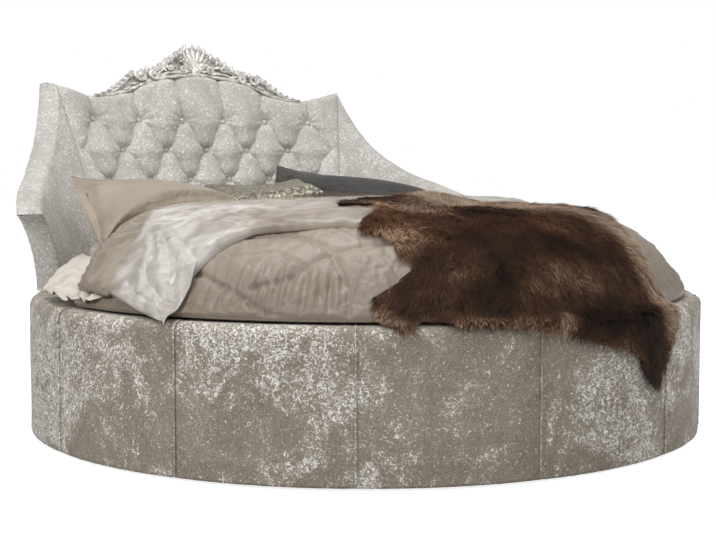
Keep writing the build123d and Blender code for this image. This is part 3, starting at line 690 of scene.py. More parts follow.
# carved crest, laid out on the headboard's face: x along it, z up, in millimetres
crest = {
    "halfWidth": 455, "degree": 18.85, "lowTop": 1170, "shellFoot": 1291, "bossSpot": 1296,
    "top": [(0, 1402), (26, 1394), (72, 1368), (113, 1342), (141, 1322), (169, 1306), (207, 1286),
            (243, 1290), (271, 1275), (307, 1249), (339, 1229), (375, 1203), (401, 1189),
            (427, 1181), (457, 1177)],
    # centre, radius, turns, start in degrees, stem, thick and thin
    "scrolls": [((252, 1264), 23, 1.35, 75, [(285, 1270), (318, 1241), (352, 1214), (388, 1193),
                                             (425, 1181), (455, 1176)], 8.0, 3.2),
                ((196, 1266), 19, 1.3, 120, [(160, 1300), (128, 1322), (98, 1342), (66, 1362),
                                             (34, 1384)], 8.5, 3.0),
                ((62, 1296), 15, 1.25, 260, [(98, 1284), (132, 1278), (166, 1262), (205, 1254),
                                             (236, 1240)], 6.5, 3.0),
                ((118, 1302), 12, 1.2, 60, [(138, 1298), (160, 1284), (178, 1270)], 5.5, 2.5)],
    # foot x and z, heading, length, width and curl
    "leaves": [(44, 1352, 62, 40, 11, 50), (30, 1368, 75, 34, 10, 40), (70, 1338, 52, 36, 11, 60),
               (96, 1322, 48, 36, 11, 60), (122, 1306, 44, 34, 10, 60), (150, 1292, 40, 32, 9, 55),
               (176, 1280, 36, 30, 9, 60), (222, 1272, 118, 30, 9, -60), (236, 1262, 98, 32, 10, -50),
               (262, 1262, 62, 30, 9, -60), (286, 1252, 44, 32, 9, -70), (306, 1238, 38, 30, 8, -70),
               (330, 1222, 34, 30, 8, -60), (352, 1208, 28, 28, 7, -60), (376, 1196, 22, 28, 6, -50),
               (402, 1186, 14, 28, 5, -40), (426, 1180, 6, 28, 4, -20), (28, 1322, 30, 44, 12, -50),
               (84, 1304, 20, 40, 10, -60), (150, 1270, -10, 40, 9, 50), (214, 1248, -20, 40, 8, 40),
               (262, 1236, -30, 40, 8, 35), (300, 1216, -34, 40, 7, 25), (345, 1194, -24, 40, 6, 20),
               (20, 1292, -20, 40, 9, 60)],
    # x, z and size
    "beads": [(56, 1344, 6), (136, 1290, 5), (206, 1294, 6), (252, 1264, 7), (196, 1266, 6),
              (318, 1226, 4), (366, 1200, 4)],
}


def crestSpot(x, z, depth):
    angle = x / crest["degree"]
    radius = boardRadius(angle, z, board["foot"], max(boardTop(angle), crest["lowTop"])) + depth
    return around(radius / 1000, angle, z / 1000)


def crestShape(name, across, along, layout):
    return shapedGrid(name, across, along, lambda column, row: crestSpot(*layout(column, row)))


def crestPlate():
    # thin carved ground behind the ornament, its top edge nibbled by leaves
    across = 180

    def layout(column, row):
        x = crest["halfWidth"] * (2 * column / across - 1)
        low = boardTop(x / crest["degree"]) - 2
        nibble = 7 * abs(sin(x / 13.0)) + 3 * abs(sin(x / 5.1 + 1))
        high = max(readCurve(crest["top"], abs(x)) - 12 + nibble, low + 5)
        share = [0, 0.35, 0.7, 1, 1, 0.7, 0.35, 0, 0][row]
        depth = [20, 17, 19, 24, 40, 42, 42, 42, 20][row]
        return x, low + (high - low) * share, depth

    return crestShape("crest_plate", across, 8, layout)


def scroll(centre, radius, turns, start, tail, thick, thin):
    # volute that opens into a tapering stem
    points = []
    steps = int(16 * turns)
    for i in range(steps):
        share = i / steps
        turn = start - 2 * pi * turns * (1 - share)
        reach = radius * (0.16 + 0.84 * share)
        points.append((centre[0] + reach * cos(turn), centre[1] + reach * sin(turn),
                       -4 - 9 * (1 - share)))
    for x, z in tail:
        points.append((x, z, 4))
    smoothPoints = []
    for i in range(len(points) - 1):
        p0, p1 = points[max(i - 1, 0)], points[i]
        p2, p3 = points[i + 1], points[min(i + 2, len(points) - 1)]
        pieces = 1 if i < steps - 1 else 5
        for j in range(pieces):
            s = j / pieces
            smoothPoints.append(tuple(
                0.5 * (2 * b + (c - a) * s + (2 * a - 5 * b + 4 * c - d) * s * s
                       + (3 * b - a - 3 * c + d) * s ** 3) for a, b, c, d in zip(p0, p1, p2, p3)))
    smoothPoints.append(points[-1])
    count = len(smoothPoints)
    sides = 10

    def layout(column, row):
        x, z, depth = smoothPoints[row]
        before = smoothPoints[max(row - 1, 0)]
        after = smoothPoints[min(row + 1, count - 1)]
        run, rise = after[0] - before[0], after[1] - before[1]
        size = hypot(run, rise) or 1
        share = row / (count - 1)
        width = thin + (thick - thin) * sin(pi * min(0.15 + share * 0.9, 1)) ** 0.8
        turn = 2 * pi * column / sides
        flute = 1 - 0.28 * exp(-((sin(turn) + 1) / 0.25) ** 2)
        return (x - rise / size * cos(turn) * width, z + run / size * cos(turn) * width,
                depth + sin(turn) * width * 1.15 * flute)

    return crestShape("scroll", sides, count - 1, layout)


def leaf(x, z, heading, length, width, curl, lift=0.0):
    # one lobed blade: heading in degrees, curl bends it sideways along its length
    rows, sides = 10, 10
    centre = []
    turn = radians(heading)
    px, pz = x, z
    for i in range(rows + 1):
        centre.append((px, pz, turn))
        px += cos(turn) * length / rows
        pz += sin(turn) * length / rows
        turn += radians(curl) / rows

    def layout(column, row):
        share = row / rows
        cx, cz, along = centre[row]
        lobe = 1 - 0.30 * abs(sin(share * pi * 3.5))
        half = width * (sin(pi * (0.10 + 0.88 * share)) ** 0.7) * lobe
        turn = 2 * pi * column / sides
        side = cos(turn) * half
        body = sin(turn)
        rise = (5.0 + 9 * sin(pi * share)) * (0.9 if body < 0 else 0.35)
        groove = 3.2 * exp(-(cos(turn) / 0.22) ** 2) if body < 0 else 0
        tip = -10 * share ** 3
        return (cx - sin(along) * side, cz + cos(along) * side,
                8 + lift + tip + body * rise + groove)

    return crestShape("leaf", sides, rows, layout)


def crestRail():
    # moulding along the padded edge
    rows, sides, half = 150, 12, 452

    def layout(column, row):
        x = -half + 2 * half * row / rows
        z = boardTop(x / crest["degree"]) + 6
        turn = 2 * pi * column / sides
        size = 8.0 - 2.5 * abs(x / half) ** 2
        size *= 1 + 0.10 * sin(x / 2.6)
        return x, z + size * cos(turn), 4 + size * 1.1 * sin(turn)

    return crestShape("rail", sides, rows, layout)


def boss(x, z, wide, high, depth, ridges):
    # domed ornament with radial ridges
    rings, sides = 7, 24

    def layout(column, row):
        share = row / rings
        turn = 2 * pi * column / sides
        reach = sin(share * pi / 2)
        fan = 1 + 0.10 * cos(turn * ridges) * reach
        return (x + wide * reach * fan * cos(turn), z + high * reach * fan * sin(turn),
                10 - depth * cos(share * pi / 2) - 2.5 * abs(sin(turn * ridges / 2)) * reach)

    return crestShape("boss", sides, rings, layout)


def makeCrest():
    parts = [crestPlate(), crestRail()]
    # shell over the middle
    for i in range(9):
        heading = 90 + (i - 4) * 17.5
        reach = 112 - 7.5 * abs(i - 4) ** 1.35
        parts.append(leaf(0, crest["shellFoot"], heading, reach, 15.5, -(i - 4) * 5.0, -4))
    parts.append(boss(0, crest["bossSpot"], 23, 28, 17, 12))
    parts.append(boss(0, crest["bossSpot"], 11, 14, 24, 6))
    for side in (-1, 1):
        def put(x, z, heading, length, width, curl):
            turned = heading if side > 0 else 180 - heading
            parts.append(leaf(side * x, z, turned, length, width, curl * side))

        def putScroll(centre, radius, turns, start, tail, thick, thin):
            shape = scroll(centre, radius, turns, radians(start), tail, thick, thin)
            if side < 0:
                for corner in shape.data.vertices:
                    corner.co.x = -corner.co.x
                editAll(shape, outwards)
            parts.append(shape)

        for plan in crest["scrolls"]:
            putScroll(*plan)
        for plan in crest["leaves"]:
            put(*plan)
        for x, z, size in crest["beads"]:
            parts.append(boss(side * x, z, size, size, size * 2.0, 5))
    carved = joined("crest_carving", parts)
    smoothFaces(carved, 50)
    return carved


dress(makeCrest(), "base", "silver_leaf", leafSilver, "crest")
print("crest carved")


# how the bedding falls: radius and height, from the middle over the rim and down
bedPath = [(0, 755), (280, 753.5), (560, 751), (680, 746), (760, 738), (835, 720), (900, 690), (955, 658),
           (1000, 622), (1032, 587), (1062, 548), (1092, 508), (1120, 478), (1145, 466),
           (1165, 457), (1175, 430), (1175, 190)]
bedRun = [0.0]
for (ra, za), (rb, zb) in zip(bedPath, bedPath[1:]):
    bedRun.append(bedRun[-1] + hypot(rb - ra, zb - za))
radiusByRun = [(run, radius) for run, (radius, height) in zip(bedRun, bedPath)]
heightByRun = [(run, height) for run, (radius, height) in zip(bedRun, bedPath)]
runByRadius = [(radius, run) for run, (radius, height) in zip(bedRun, bedPath) if run < 1280]


def bedSpot(x, y, lift):
    # a place on the bedding, x and y measured along the cloth from the middle
    run = hypot(x, y)
    reach = max(run, 1e-6)
    step = 9.0
    (ra, za), (radius, height), (rb, zb) = (
        (readCurve(radiusByRun, place), readCurve(heightByRun, place))
        for place in (max(run - step, 0), run, run + step))
    size = hypot(rb - ra, zb - za) or 1
    away, up = (za - zb) / size, (rb - ra) / size
    radius += away * lift
    height += up * lift
    return Vector((radius * x / reach, radius * y / reach, height)) / 1000


def alongCloth(x, y):
    # plan place to a place measured along the cloth
    radius = hypot(x, y) or 1e-6
    run = readTable(runByRadius, radius)
    return x * run / radius, y * run / radius


def polyline(points, share):
    lengths = [0.0]
    for a, b in zip(points, points[1:]):
        lengths.append(lengths[-1] + hypot(b[0] - a[0], b[1] - a[1]))
    key = share * lengths[-1]
    xs = [(length, point[0]) for length, point in zip(lengths, points)]
    ys = [(length, point[1]) for length, point in zip(lengths, points)]
    return readTable(xs, key), readTable(ys, key)


def nearestOn(x, y, points):
    # distance to a line of points, and the place on it that is nearest
    best = (1e9, 0, 0)
    for (ax, ay), (bx, by) in zip(points, points[1:]):
        dx, dy = bx - ax, by - ay
        share = min(max(((x - ax) * dx + (y - ay) * dy) / (dx * dx + dy * dy), 0), 1)
        away = hypot(x - ax - dx * share, y - ay - dy * share)
        if away < best[0]:
            best = (away, ax + dx * share, ay + dy * share)
    return best


def nearLine(x, y, points):
    return nearestOn(x, y, points)[0]


def insideOf(x, y, outline):
    hits = False
    j = len(outline) - 1
    for i in range(len(outline)):
        xi, yi = outline[i]
        xj, yj = outline[j]
        if (yi > y) != (yj > y) and x < (xj - xi) * (y - yi) / (yj - yi) + xi:
            hits = not hits
        j = i
    return hits


duvet = {
    "headEdge": [(-1120, 22), (-985, 45), (-700, 70), (-275, 150), (250, 200), (700, 130),
                 (985, 60), (1120, 34)],
    "rim": 1120, "thick": 34, "from": 88.3, "to": 271.1,
    # along the cloth: where the side begins and is full, where it thins, and its hem
    "side": (880, 1110), "thinFrom": 1130, "thin": 19, "hem": 1215,
    "quilting": [[(-1010, -330), (-981, -457), (-965, -600), (-950, -740), (-900, -830)],
                 [(-930, -640), (-814, -711), (-681, -723), (-499, -787), (-300, -900), (-150, -1060)],
                 [(-820, -427), (-696, -558), (-669, -705), (-720, -860), (-800, -960)],
                 [(-650, -300), (-420, -560), (-330, -760), (-330, -950), (-420, -1120)],
                 [(-150, -520), (-20, -760), (20, -980), (-40, -1180)],
                 [(300, -560), (240, -800), (160, -1000), (180, -1180)],
                 [(960, -480), (760, -560), (520, -640), (250, -560), (0, -330), (-120, 0)],
                 [(900, -760), (640, -830), (420, -980), (340, -1140)],
                 [(1060, -200), (800, -250), (560, -330), (350, -200), (250, 100)],
                 [(620, -480), (640, -700), (740, -900), (760, -930)],
                 [(880, -120), (860, -400), (930, -620), (1000, -720)]],
}


def duvetRelief(x, y):
    run = hypot(x, y)
    turn = degrees(atan2(x, y)) % 360
    first, full = duvet["side"]
    flank = blendShare((run - first) / (full - first))
    hem = blendShare((duvet["hem"] - run) / 60)
    relief = 8.0 * wobble((x, y, 0), 260.0) + 4.0 * wobble((x, y, 5), 80.0)
    # soft lines that pull toward the turned-back corner
    pull = wobble(((x * 0.5 - y * 0.86) / 42.0, (x * 0.86 + y * 0.5) / 330.0, 2.0), 1.0)
    drawn = min(max(0.25 + 1.6 * wobble((x, y, 8), 170.0), 0), 1)
    relief += 4.5 * pull * drawn * blendShare((-x - 250) / 300) * (1 - flank)
    thin = wobble(((x * 0.42 - y * 0.9) / 19.0, (x * 0.9 + y * 0.42) / 210.0, 6.0), 1.0)
    relief += 3.4 * thin * blendShare((-x + 50) / 400) * (1 - 0.5 * flank)
    for line in duvet["quilting"]:
        away = nearLine(x, y, line)
        if away < 90:
            relief += 6.0 * (1 - exp(-away / 26)) - 9.0 * exp(-(away / 10.0) ** 2) - 2.5
            relief += 3.5 * wobble((x, y, 2), 19.0) * exp(-away / 28)
    # upright gathers down the side
    arc = radians(turn) * duvet["rim"]
    wave = sin(arc / 6.2 + 3.4 * wobble((turn / 2.4, run / 240, 0), 1.0))
    wide = wobble((turn * 0.42, run / 420, 7), 1.0)
    gather = blendShare((turn - 217) / 6) * blendShare((246 - turn) / 6)
    ribs = blendShare((178 - turn) / 14) * blendShare((run - 820) / 160)
    relief += flank * hem * 10.0 * wide + blendShare((run - 1020) / 90) * hem * gather * 5.5 * wave
    fineRib = sin(arc / 5.6 + 2.5 * wobble((turn / 3.0, run / 300, 3), 1.0))
    relief += ribs * hem * 3.2 * fineRib
    # ruched patch beside the hide
    patch = blendShare((turn - 196) / 5) * blendShare((223 - turn) / 4) * blendShare((run - 960) / 50)
    relief += patch * hem * (10.0 * abs(wobble((x, y, 0), 26.0, 3.0)) + 4.0 * wobble((x, y, 0), 11.0))
    return relief


def makeDuvet():
    across = int(520 * fine)
    along = int(150 * fine)
    rings = []
    for column in range(across + 1):
        share = column / across
        turn = duvet["from"] + (duvet["to"] - duvet["from"]) * share
        rim = duvet["rim"] * sin(radians(turn)), duvet["rim"] * cos(radians(turn))
        head = polyline(duvet["headEdge"], 1 - share)
        ring = []
        for row in range(along + 1):
            way = row / along
            way = 1 - (1 - way) ** 1.25
            x, y = alongCloth(*between(head, rim, way))
            relief = duvetRelief(x, y)
            ease = min(way / 0.035, 1.0) * min((1 - way) / 0.012, 1.0)
            edge = 17 * (1 - sqrt(max(ease * (2 - ease), 0)))
            ring.append(bedSpot(x, y, relief * min(ease, 1) + 1 - edge))
        for row in range(9):
            way = 1 - row / 8
            x, y = alongCloth(*between(head, rim, way))
            run = hypot(x, y)
            deep = -duvet["thick"] + 1
            if run > duvet["thinFrom"]:
                deep = max(deep, -duvet["thin"])
            ring.append(bedSpot(x, y, deep * min(1, (1 - abs(2 * way - 1)) * 6 + 0.55)))
        ring.append(ring[0].copy())
        rings.append(ring)
    return ringedShape("duvet_quilt", rings)


duvetQuilt = makeDuvet()
dress(duvetQuilt, "duvet", "duvet_satin", duvetSatin, "duvet")
print("duvet made")


turned = {
    "lower": [(-1078, -452), (-1014, -410), (-934, -428), (-854, -438), (-765, -464), (-667, -556),
              (-499, -701), (-400, -650), (-100, -470), (250, -250), (480, -150), (760, -70)],
    "upper": [(-1080, -190), (-1085, 8), (-985, 45), (-700, 70), (-275, 150), (250, 200),
              (480, 165), (760, 112)],
    "thick": 27, "hemThick": 7, "under": 1.5, "rough": 5,
}
turnedOutline = [alongCloth(*spot) for spot in turned["upper"] + turned["lower"][::-1]]


def turnedShare(x, y, soft):
    # 1 well inside the turned-back layer, 0 well outside it
    away = nearLine(x, y, turnedOutline + turnedOutline[:1])
    if not insideOf(x, y, turnedOutline):
        away = -away
    return blendShare(0.5 + away / (2 * soft))


def turnedRelief(x, y):
    relief = 7.0 * wobble((x, y, 9), 120.0) + 4.5 * wobble((x, y, 4), 46.0)
    pull = wobble(((x * 0.7 + y * 0.7) / 46.0, (x * 0.7 - y * 0.7) / 260.0, 5.0), 1.0)
    relief += 8.5 * pull * blendShare((-x - 100) / 500)
    ridge = 1 - abs(wobble((x * 0.8 + y * 0.6, (y * 0.8 - x * 0.6) * 0.35, 3.0), 62.0, 4.0)) * 2
    relief += 9.0 * (ridge ** 3) * blendShare((-x - 450) / 350)
    for line in ([(-900, 40), (-780, -200), (-700, -520)], [(-560, 90), (-420, -200), (-340, -600)],
                 [(-120, 170), (-60, -100), (-60, -440)]):
        away = nearLine(x, y, line)
        if away < 70:
            relief += 3.5 * (1 - exp(-away / 24)) - 6.0 * exp(-(away / 7.0) ** 2) - 1.5
    return relief


def makeTurned():
    across, along = int(190 * fine), int(72 * fine)
    rings = []
    for column in range(across + 1):
        share = column / across
        low, high = (polyline(turned[edge], share) for edge in ("lower", "upper"))
        rough = turned["rough"] * wobble((share * 14, 0, 0), 1.0)
        end = min(share / 0.02, (1 - share) / 0.02, 1.0)
        ring = []
        for row in range(along + 1):
            way = row / along
            x, y = alongCloth(*between(low, high, way))
            y += rough * (1 - way)
            ease = min(way / 0.09, (1 - way) / 0.07, 1.0) * end
            rounded = sqrt(max(ease * (2 - ease), 0))
            fuller = turned["thick"] - turned["hemThick"] + turnedRelief(x, y)
            ring.append(bedSpot(x, y, turned["hemThick"] + fuller * rounded))
        for row in range(7):
            way = 1 - row / 6
            x, y = alongCloth(*between(low, high, way))
            y += rough * (1 - way)
            ring.append(bedSpot(x, y, turned["under"]))
        ring.append(ring[0].copy())
        rings.append(ring)
    return ringedShape("turned_quilt", rings)


def turnedCloth():
    # champagne, turning to the silvery lining toward the free corner
    made = Recipe("turnedCloth", Sheen_Weight=0.2, Sheen_Roughness=0.3)
    place = made.add("ShaderNodeSeparateXYZ", None, {0: made.spot()})
    crease = made.cloud(11.0, 2.5, 0.45, 0.5, made.spot((0.7, 1.2, 1.0)))
    wide = made.cloud(3.4, 4.0, 0.6, 0.8)
    forward = made.add("ShaderNodeSeparateXYZ", None, {0: made.spot()}, out=1)
    inward = made.step(place * 0.634 - forward * 0.775 + crease * 0.05, -0.535, -0.485)
    silver = made.step(wide * 0.5 - place, 0.88, 1.12) * inward + made.step(place, 0.25, 0.4)
    # painted shade: the darker champagne and lining colours fall where the crease noise is low, in the
    # valleys of its bump
    champagne = made.mix(made.step(crease, 0.35, 0.65), (0.235, 0.195, 0.15), (0.325, 0.28, 0.228))
    lining = made.mix(made.step(crease, 0.3, 0.7), (0.35, 0.32, 0.288), (0.55, 0.522, 0.49))
    made.feed(Base_Color=made.mix(silver, champagne, lining), Roughness=0.38 - silver * 0.1)
    made.raised(crease, 0.5, 0.016)
    return made.material


turnedSatin = turnedCloth()
turnedQuilt = makeTurned()
dress(turnedQuilt, "duvet", "lining_satin", turnedSatin, "duvet_turnback")


flap = {
    "left": [(-948, -130), (-1010, -215), (-1066, -262), (-1128, -300), (-1168, -508)],
    "right": [(-905, -230), (-930, -330), (-948, -430), (-1030, -475), (-1172, -520)],
    "lift": 31, "thick": 0.003,
}


def makeFlap():
    # free corner of the lining, fallen down the side in loose folds
    across, along = int(60 * fine), int(90 * fine)
    rings = []
    for column in range(across + 1):
        share = column / across
        ring = []
        for row in range(along + 1):
            way = row / along
            x, y = between(polyline(flap["left"], way), polyline(flap["right"], way), share)
            fold = sin(share * 2 * pi * 2.6 + 1.2 * sin(way * 5) + 2.0 * wobble((share, way * 2, 1), 0.6))
            loose = sin(pi * min(way * 1.15, 1)) * sin(pi * share) ** 0.5
            lift = flap["lift"] + (8.5 * fold + 4) * loose
            lift += turnedShare(x, y, 40) * turnedRelief(x, y) * 0.6
            ring.append(bedSpot(x, y, lift - 14 * (1 - turnedShare(x, y, 60))))
        rings.append(ring)
    piece = ringedShape("lining_flap", rings, False)
    thicken(piece, flap["thick"])
    return piece


liningFlap = makeFlap()
dress(liningFlap, "duvet", "lining_satin", liningSatin)


def makeBorder():
    # gathered strip sewn along the turned-back edge
    rows, sides = int(520 * fine), 14

    def place(column, row):
        share = row / rows
        px, py = polyline(turned["upper"], share * 0.985 + 0.01)
        x, y = alongCloth(px, py)
        nx, ny = polyline(turned["upper"], min(share * 0.985 + 0.02, 1))
        along = Vector((nx - px, ny - py, 0)).normalized()
        turn = 2 * pi * column / sides
        pucker = 1 + 0.17 * sin(share * 640 + 2 * turn) + 0.10 * wobble((share * 90, turn, 0), 1.0)
        size = 14.0 * pucker * min(1, share / 0.01 + 0.3, (1 - share) / 0.01 + 0.3)
        sideways = cos(turn) * size * 1.15
        return bedSpot(x - along.y * sideways, y + along.x * sideways,
                       19 + sin(turn) * size * 0.85 + 3 * wobble((share * 16, 0, 0), 1.0))

    return shapedGrid("ruched_border", sides, rows, place)


border = makeBorder()
dress(border, "duvet", "duvet_satin", duvetSatin)
print("turned-back corner made")


def spunShape(name, profile, sides, push=None):
    # closed ring turned around the drum's axis from radius and height pairs
    count = len(profile)

    def place(column, row):
        radius, height = profile[row % count]
        angle = 360.0 * column / sides
        if push:
            radius += push(radius, height, angle)
        return around(radius / 1000, angle, height / 1000)

    return shapedGrid(name, sides, count, place)


def makeSheet():
    top = [(radius, readTable(bedPath, radius) - 36) for radius in
           (0.5, 120, 280, 420, 560, 680, 760, 835, 880, 915, 940, 955)]
    side = [(962, readTable(bedPath, 962) - 44)] + [(963, 600 - 10 * i) for i in range(9)]
    under = [(960, 520), (960, 596), (952, readTable(bedPath, 952) - 39)]
    inner = [(radius, readTable(bedPath, radius) - 39) for radius in
             (915, 835, 760, 680, 560, 420, 280, 120, 0.5)]

    def push(radius, height, angle):
        if radius < 900 or height > 615:
            return 0
        return 1.2 * sin(radians(angle) * 60 + 3 * wobble((angle / 20, 0, 0), 1.0)) - 1.0

    return spunShape("sheet_cotton", top + side + under + inner, int(240 * fine), push)


sheetPiece = makeSheet()
dress(sheetPiece, "mattress", "sheet_cotton", sheetCotton, "fitted_sheet")


def makeTicking():
    wall = [(957, 438), (959.5, 442)]
    for i in range(19):
        wall.append((957.6 + 1.9 * abs(sin(pi * i / 3)), 446 + 8 * i))
    top = [(radius, readTable(bedPath, radius) - 41) for radius in (950, 915, 835, 760, 560, 280, 0.5)]
    return spunShape("mattress_ticking", [(0.5, 438), (900, 438)] + wall + top, int(200 * fine))


ticking = makeTicking()
dress(ticking, "mattress", "ticking", tickingCloth, "mattress_cover")


ruffle = {"first": 262, "last": 293, "inner": 1035, "outer": 1140, "sunk": 30}


def makeRuffle():
    # loose edge of the sheet that spills on to the rim beside the headboard
    across, along = int(150 * fine), int(44 * fine)
    inner, sunk = ruffle["inner"], ruffle["sunk"]
    rings = []
    for column in range(across + 1):
        share = column / across
        turn = radians(ruffle["first"] + (ruffle["last"] - ruffle["first"]) * share)
        end = min(share / 0.12, (1 - share) / 0.12, 1)
        outer = ruffle["outer"] + 74 * end + 22 * wobble((share * 6, 1.0, 0), 1.0)
        ring = []
        for row in range(along + 1):
            way = row / along
            run = inner + (outer - inner) * way
            fold = 9.0 * sin(share * 58 + 2.6 * wobble((share * 9, way * 1.5, 1.0), 1.0))
            curl = 5.0 * sin(way * 2 * pi * 1.5 + 4 * wobble((share * 5, way, 1.0), 1.0))
            crumple = abs(wobble((share * 19, way * 4, 1.0), 1.0)) * 16
            crumple += wobble((share * 44, way * 9, 1.0), 1.0) * 5
            loose = blendShare(way * 1.8) * (0.4 + 0.6 * end)
            lift = 5 - sunk * (1 - way) + (fold + curl + crumple) * loose
            lift = max(lift, 2 * way - sunk * (1 - way))
            sway = 9.0 * sin(share * 41 + 1.0) * way / run
            ring.append(bedSpot(run * sin(turn + sway), run * cos(turn + sway), lift))
        rings.append(ring)
    piece = ringedShape("sheet_ruffle_left", rings, False)
    thicken(piece, 0.002)
    return piece


rufflePiece = makeRuffle()
dress(rufflePiece, "mattress", "sheet_cotton", sheetCotton)
print("mattress and sheet made")


hide = {
    "outline": [(-470, -468), (-380, -402), (-300, -372), (-225, -375), (-150, -330), (-60, -250),
                (20, -200), (110, -200), (220, -225), (330, -258), (460, -300), (550, -360), (600, -440),
                (590, -520), (540, -640), (462, -800), (392, -960), (368, -1060), (362, -1180),
                (366, -1261), (338, -1359), (300, -1456), (240, -1462), (185, -1430), (156, -1392),
                (57, -1347), (-62, -1325), (-132, -1300), (-207, -1278), (-337, -1231), (-516, -1160),
                (-580, -1061), (-645, -1094), (-688, -1086), (-709, -1033), (-700, -975),
                (-685, -928), (-620, -930), (-518, -915), (-505, -884), (-535, -845), (-498, -790),
                (-530, -730), (-560, -700), (-530, -672), (-460, -650), (-400, -600), (-345, -540),
                (-330, -490), (-380, -462)],
    # height, middle, width and length of each place where it stands up
    "bumps": [(12, 60, -260, 160, 110), (16, -440, -740, 90, 80), (12, 330, -1000, 60, 260)],
    # middle and reach of the whorl of hair in the pale patch
    "whorl": (-430, -740, 110),
    "cell": 14, "hairs": 38000, "length": (0.02, 0.042), "width": 0.0009, "thick": 0.004,
}


def hideLift(x, y):
    below = duvetRelief(x, y) * (1 - turnedShare(x, y, 60))
    lift = 5 + 0.7 * below + 29 * turnedShare(x, y, 70)
    for high, middleX, middleY, wide, long in hide["bumps"]:
        lift += high * exp(-(((x - middleX) / wide) ** 2 + ((y - middleY) / long) ** 2))
    lift += 7.0 * wobble((x, y, 0), 150.0, 2.0) + 4.0 * wobble((x, y, 0), 55.0, 5.0)
    return max(lift, below + 4, 5)


def makeHide():
    cell = hide["cell"] * 1
    outline = hide["outline"]
    loop = outline + outline[:1]
    lowX, lowY = min(p[0] for p in outline), min(p[1] for p in outline)
    across = ceil((max(p[0] for p in outline) - lowX) / cell)
    along = ceil((max(p[1] for p in outline) - lowY) / cell)
    spots, faces, numbers = [], [], {}

    def corner(column, row):
        if (column, row) not in numbers:
            x, y = lowX + column * cell, lowY + row * cell
            if not insideOf(x, y, outline):
                # drawn back on to the outline
                away, x, y = nearestOn(x, y, loop)
            numbers[(column, row)] = len(spots)
            spots.append((x, y))
        return numbers[(column, row)]

    for column in range(across):
        for row in range(along):
            if insideOf(lowX + (column + 0.5) * cell, lowY + (row + 0.5) * cell, outline):
                faces.append([corner(column, row), corner(column + 1, row),
                              corner(column + 1, row + 1), corner(column, row + 1)])
    mesh = bpy.data.meshes.new("fur_hide")
    mesh.from_pydata([bedSpot(x, y, hideLift(x, y)) for x, y in spots], [], faces)
    piece = bpy.data.objects.new("fur_hide", mesh)
    bpy.context.collection.objects.link(piece)
    return piece, spots


furSpots = {
    # a line of places, how wide, how much paler
    "whorl": ([(-480, -790), (-430, -815)], 62, 0.62),
    "hump": ([(-380, -560), (-223, -600), (-93, -520), (60, -330)], 95, 0.72),
    "farEdge": ([(130, -330), (200, -480), (290, -620), (380, -740)], 150, 1.15),
    "sideBand": ([(400, -800), (315, -940), (280, -1043), (290, -1146), (280, -1255)], 34, 0.42),
    "sideEdge": ([(390, -900), (350, -1050), (338, -1180), (338, -1270)], 50, 0.85),
    "frontTuft": ([(-190, -1272), (-160, -1225)], 30, 0.62),
    "frontHem": ([(-500, -1150), (-337, -1220), (-60, -1300), (60, -1330)], 36, 0.26),
    "leftHem": ([(-640, -940), (-690, -1000), (-660, -1080)], 34, 0.34),
    "arm": ([(-440, -960), (-540, -990), (-640, -1030)], 60, 0.16),
    "leg": ([(330, -1180), (312, -1300), (275, -1430)], 46, 0.2),
    "topRed": ([(-406, -702), (-312, -760), (-93, -790), (16, -850)], 60, 0.16),
    "back": ([(-240, -1000), (-60, -1080), (140, -1120)], 90, 0.10),
}


def hideTone(x, y, chance):
    # 0 darkest brown to 1 pale, and how red it is
    edge = nearLine(x, y, hide["outline"] + hide["outline"][:1])
    tone = 0.13 + 0.34 * wobble((x, y, 0), 170.0, 3.0) + 0.16 * wobble((x, y, 0), 60.0, 1.0)
    tone += 0.20 * exp(-edge / 20)
    for line, wide, paler in furSpots.values():
        away = nearLine(x, y, line)
        if away < 3 * wide:
            tone += paler * exp(-(away / wide) ** 2)
    red = 0.35 + 0.65 * exp(-(nearLine(x, y, furSpots["topRed"][0]) / 150) ** 2)
    return min(max(tone * (0.45 + 1.05 * chance ** 1.6), 0), 1), min(max(red, 0), 1)


def furShade(tone, red):
    stops = [(0.0, (0.012, 0.006, 0.0035)), (0.25, (0.05, 0.026, 0.014)), (0.5, (0.115, 0.066, 0.037)),
             (0.75, (0.26, 0.185, 0.12)), (1.0, (0.50, 0.43, 0.345))]
    shade = [readTable([(key, colour[k]) for key, colour in stops], tone) for k in range(3)]
    return shade[0] * (1 + 0.25 * red), shade[1] * (1 - 0.10 * red), shade[2] * (1 - 0.30 * red)


def furCloth():
    made = Recipe("furCloth", Specular_IOR_Level=0.14)
    tone = made.add("ShaderNodeAttribute", {"attribute_name": "furShade"})
    strand = made.cloud(160.0, 4.0, 0.6)
    made.feed(Base_Color=made.mix(strand * 0.35, tone, (0.014, 0.008, 0.005)),
              Roughness=0.55 + strand * 0.25)
    return made.material


def paintFur(piece, shades):
    layer = piece.data.color_attributes.new("furShade", "FLOAT_COLOR", "POINT")
    flat = []
    for shade in shades:
        flat += [*shade, 1.0]
    layer.data.foreach_set("color", flat)


furBrown = furCloth()
hidePiece, hideSpots = makeHide()
print("hide laid")


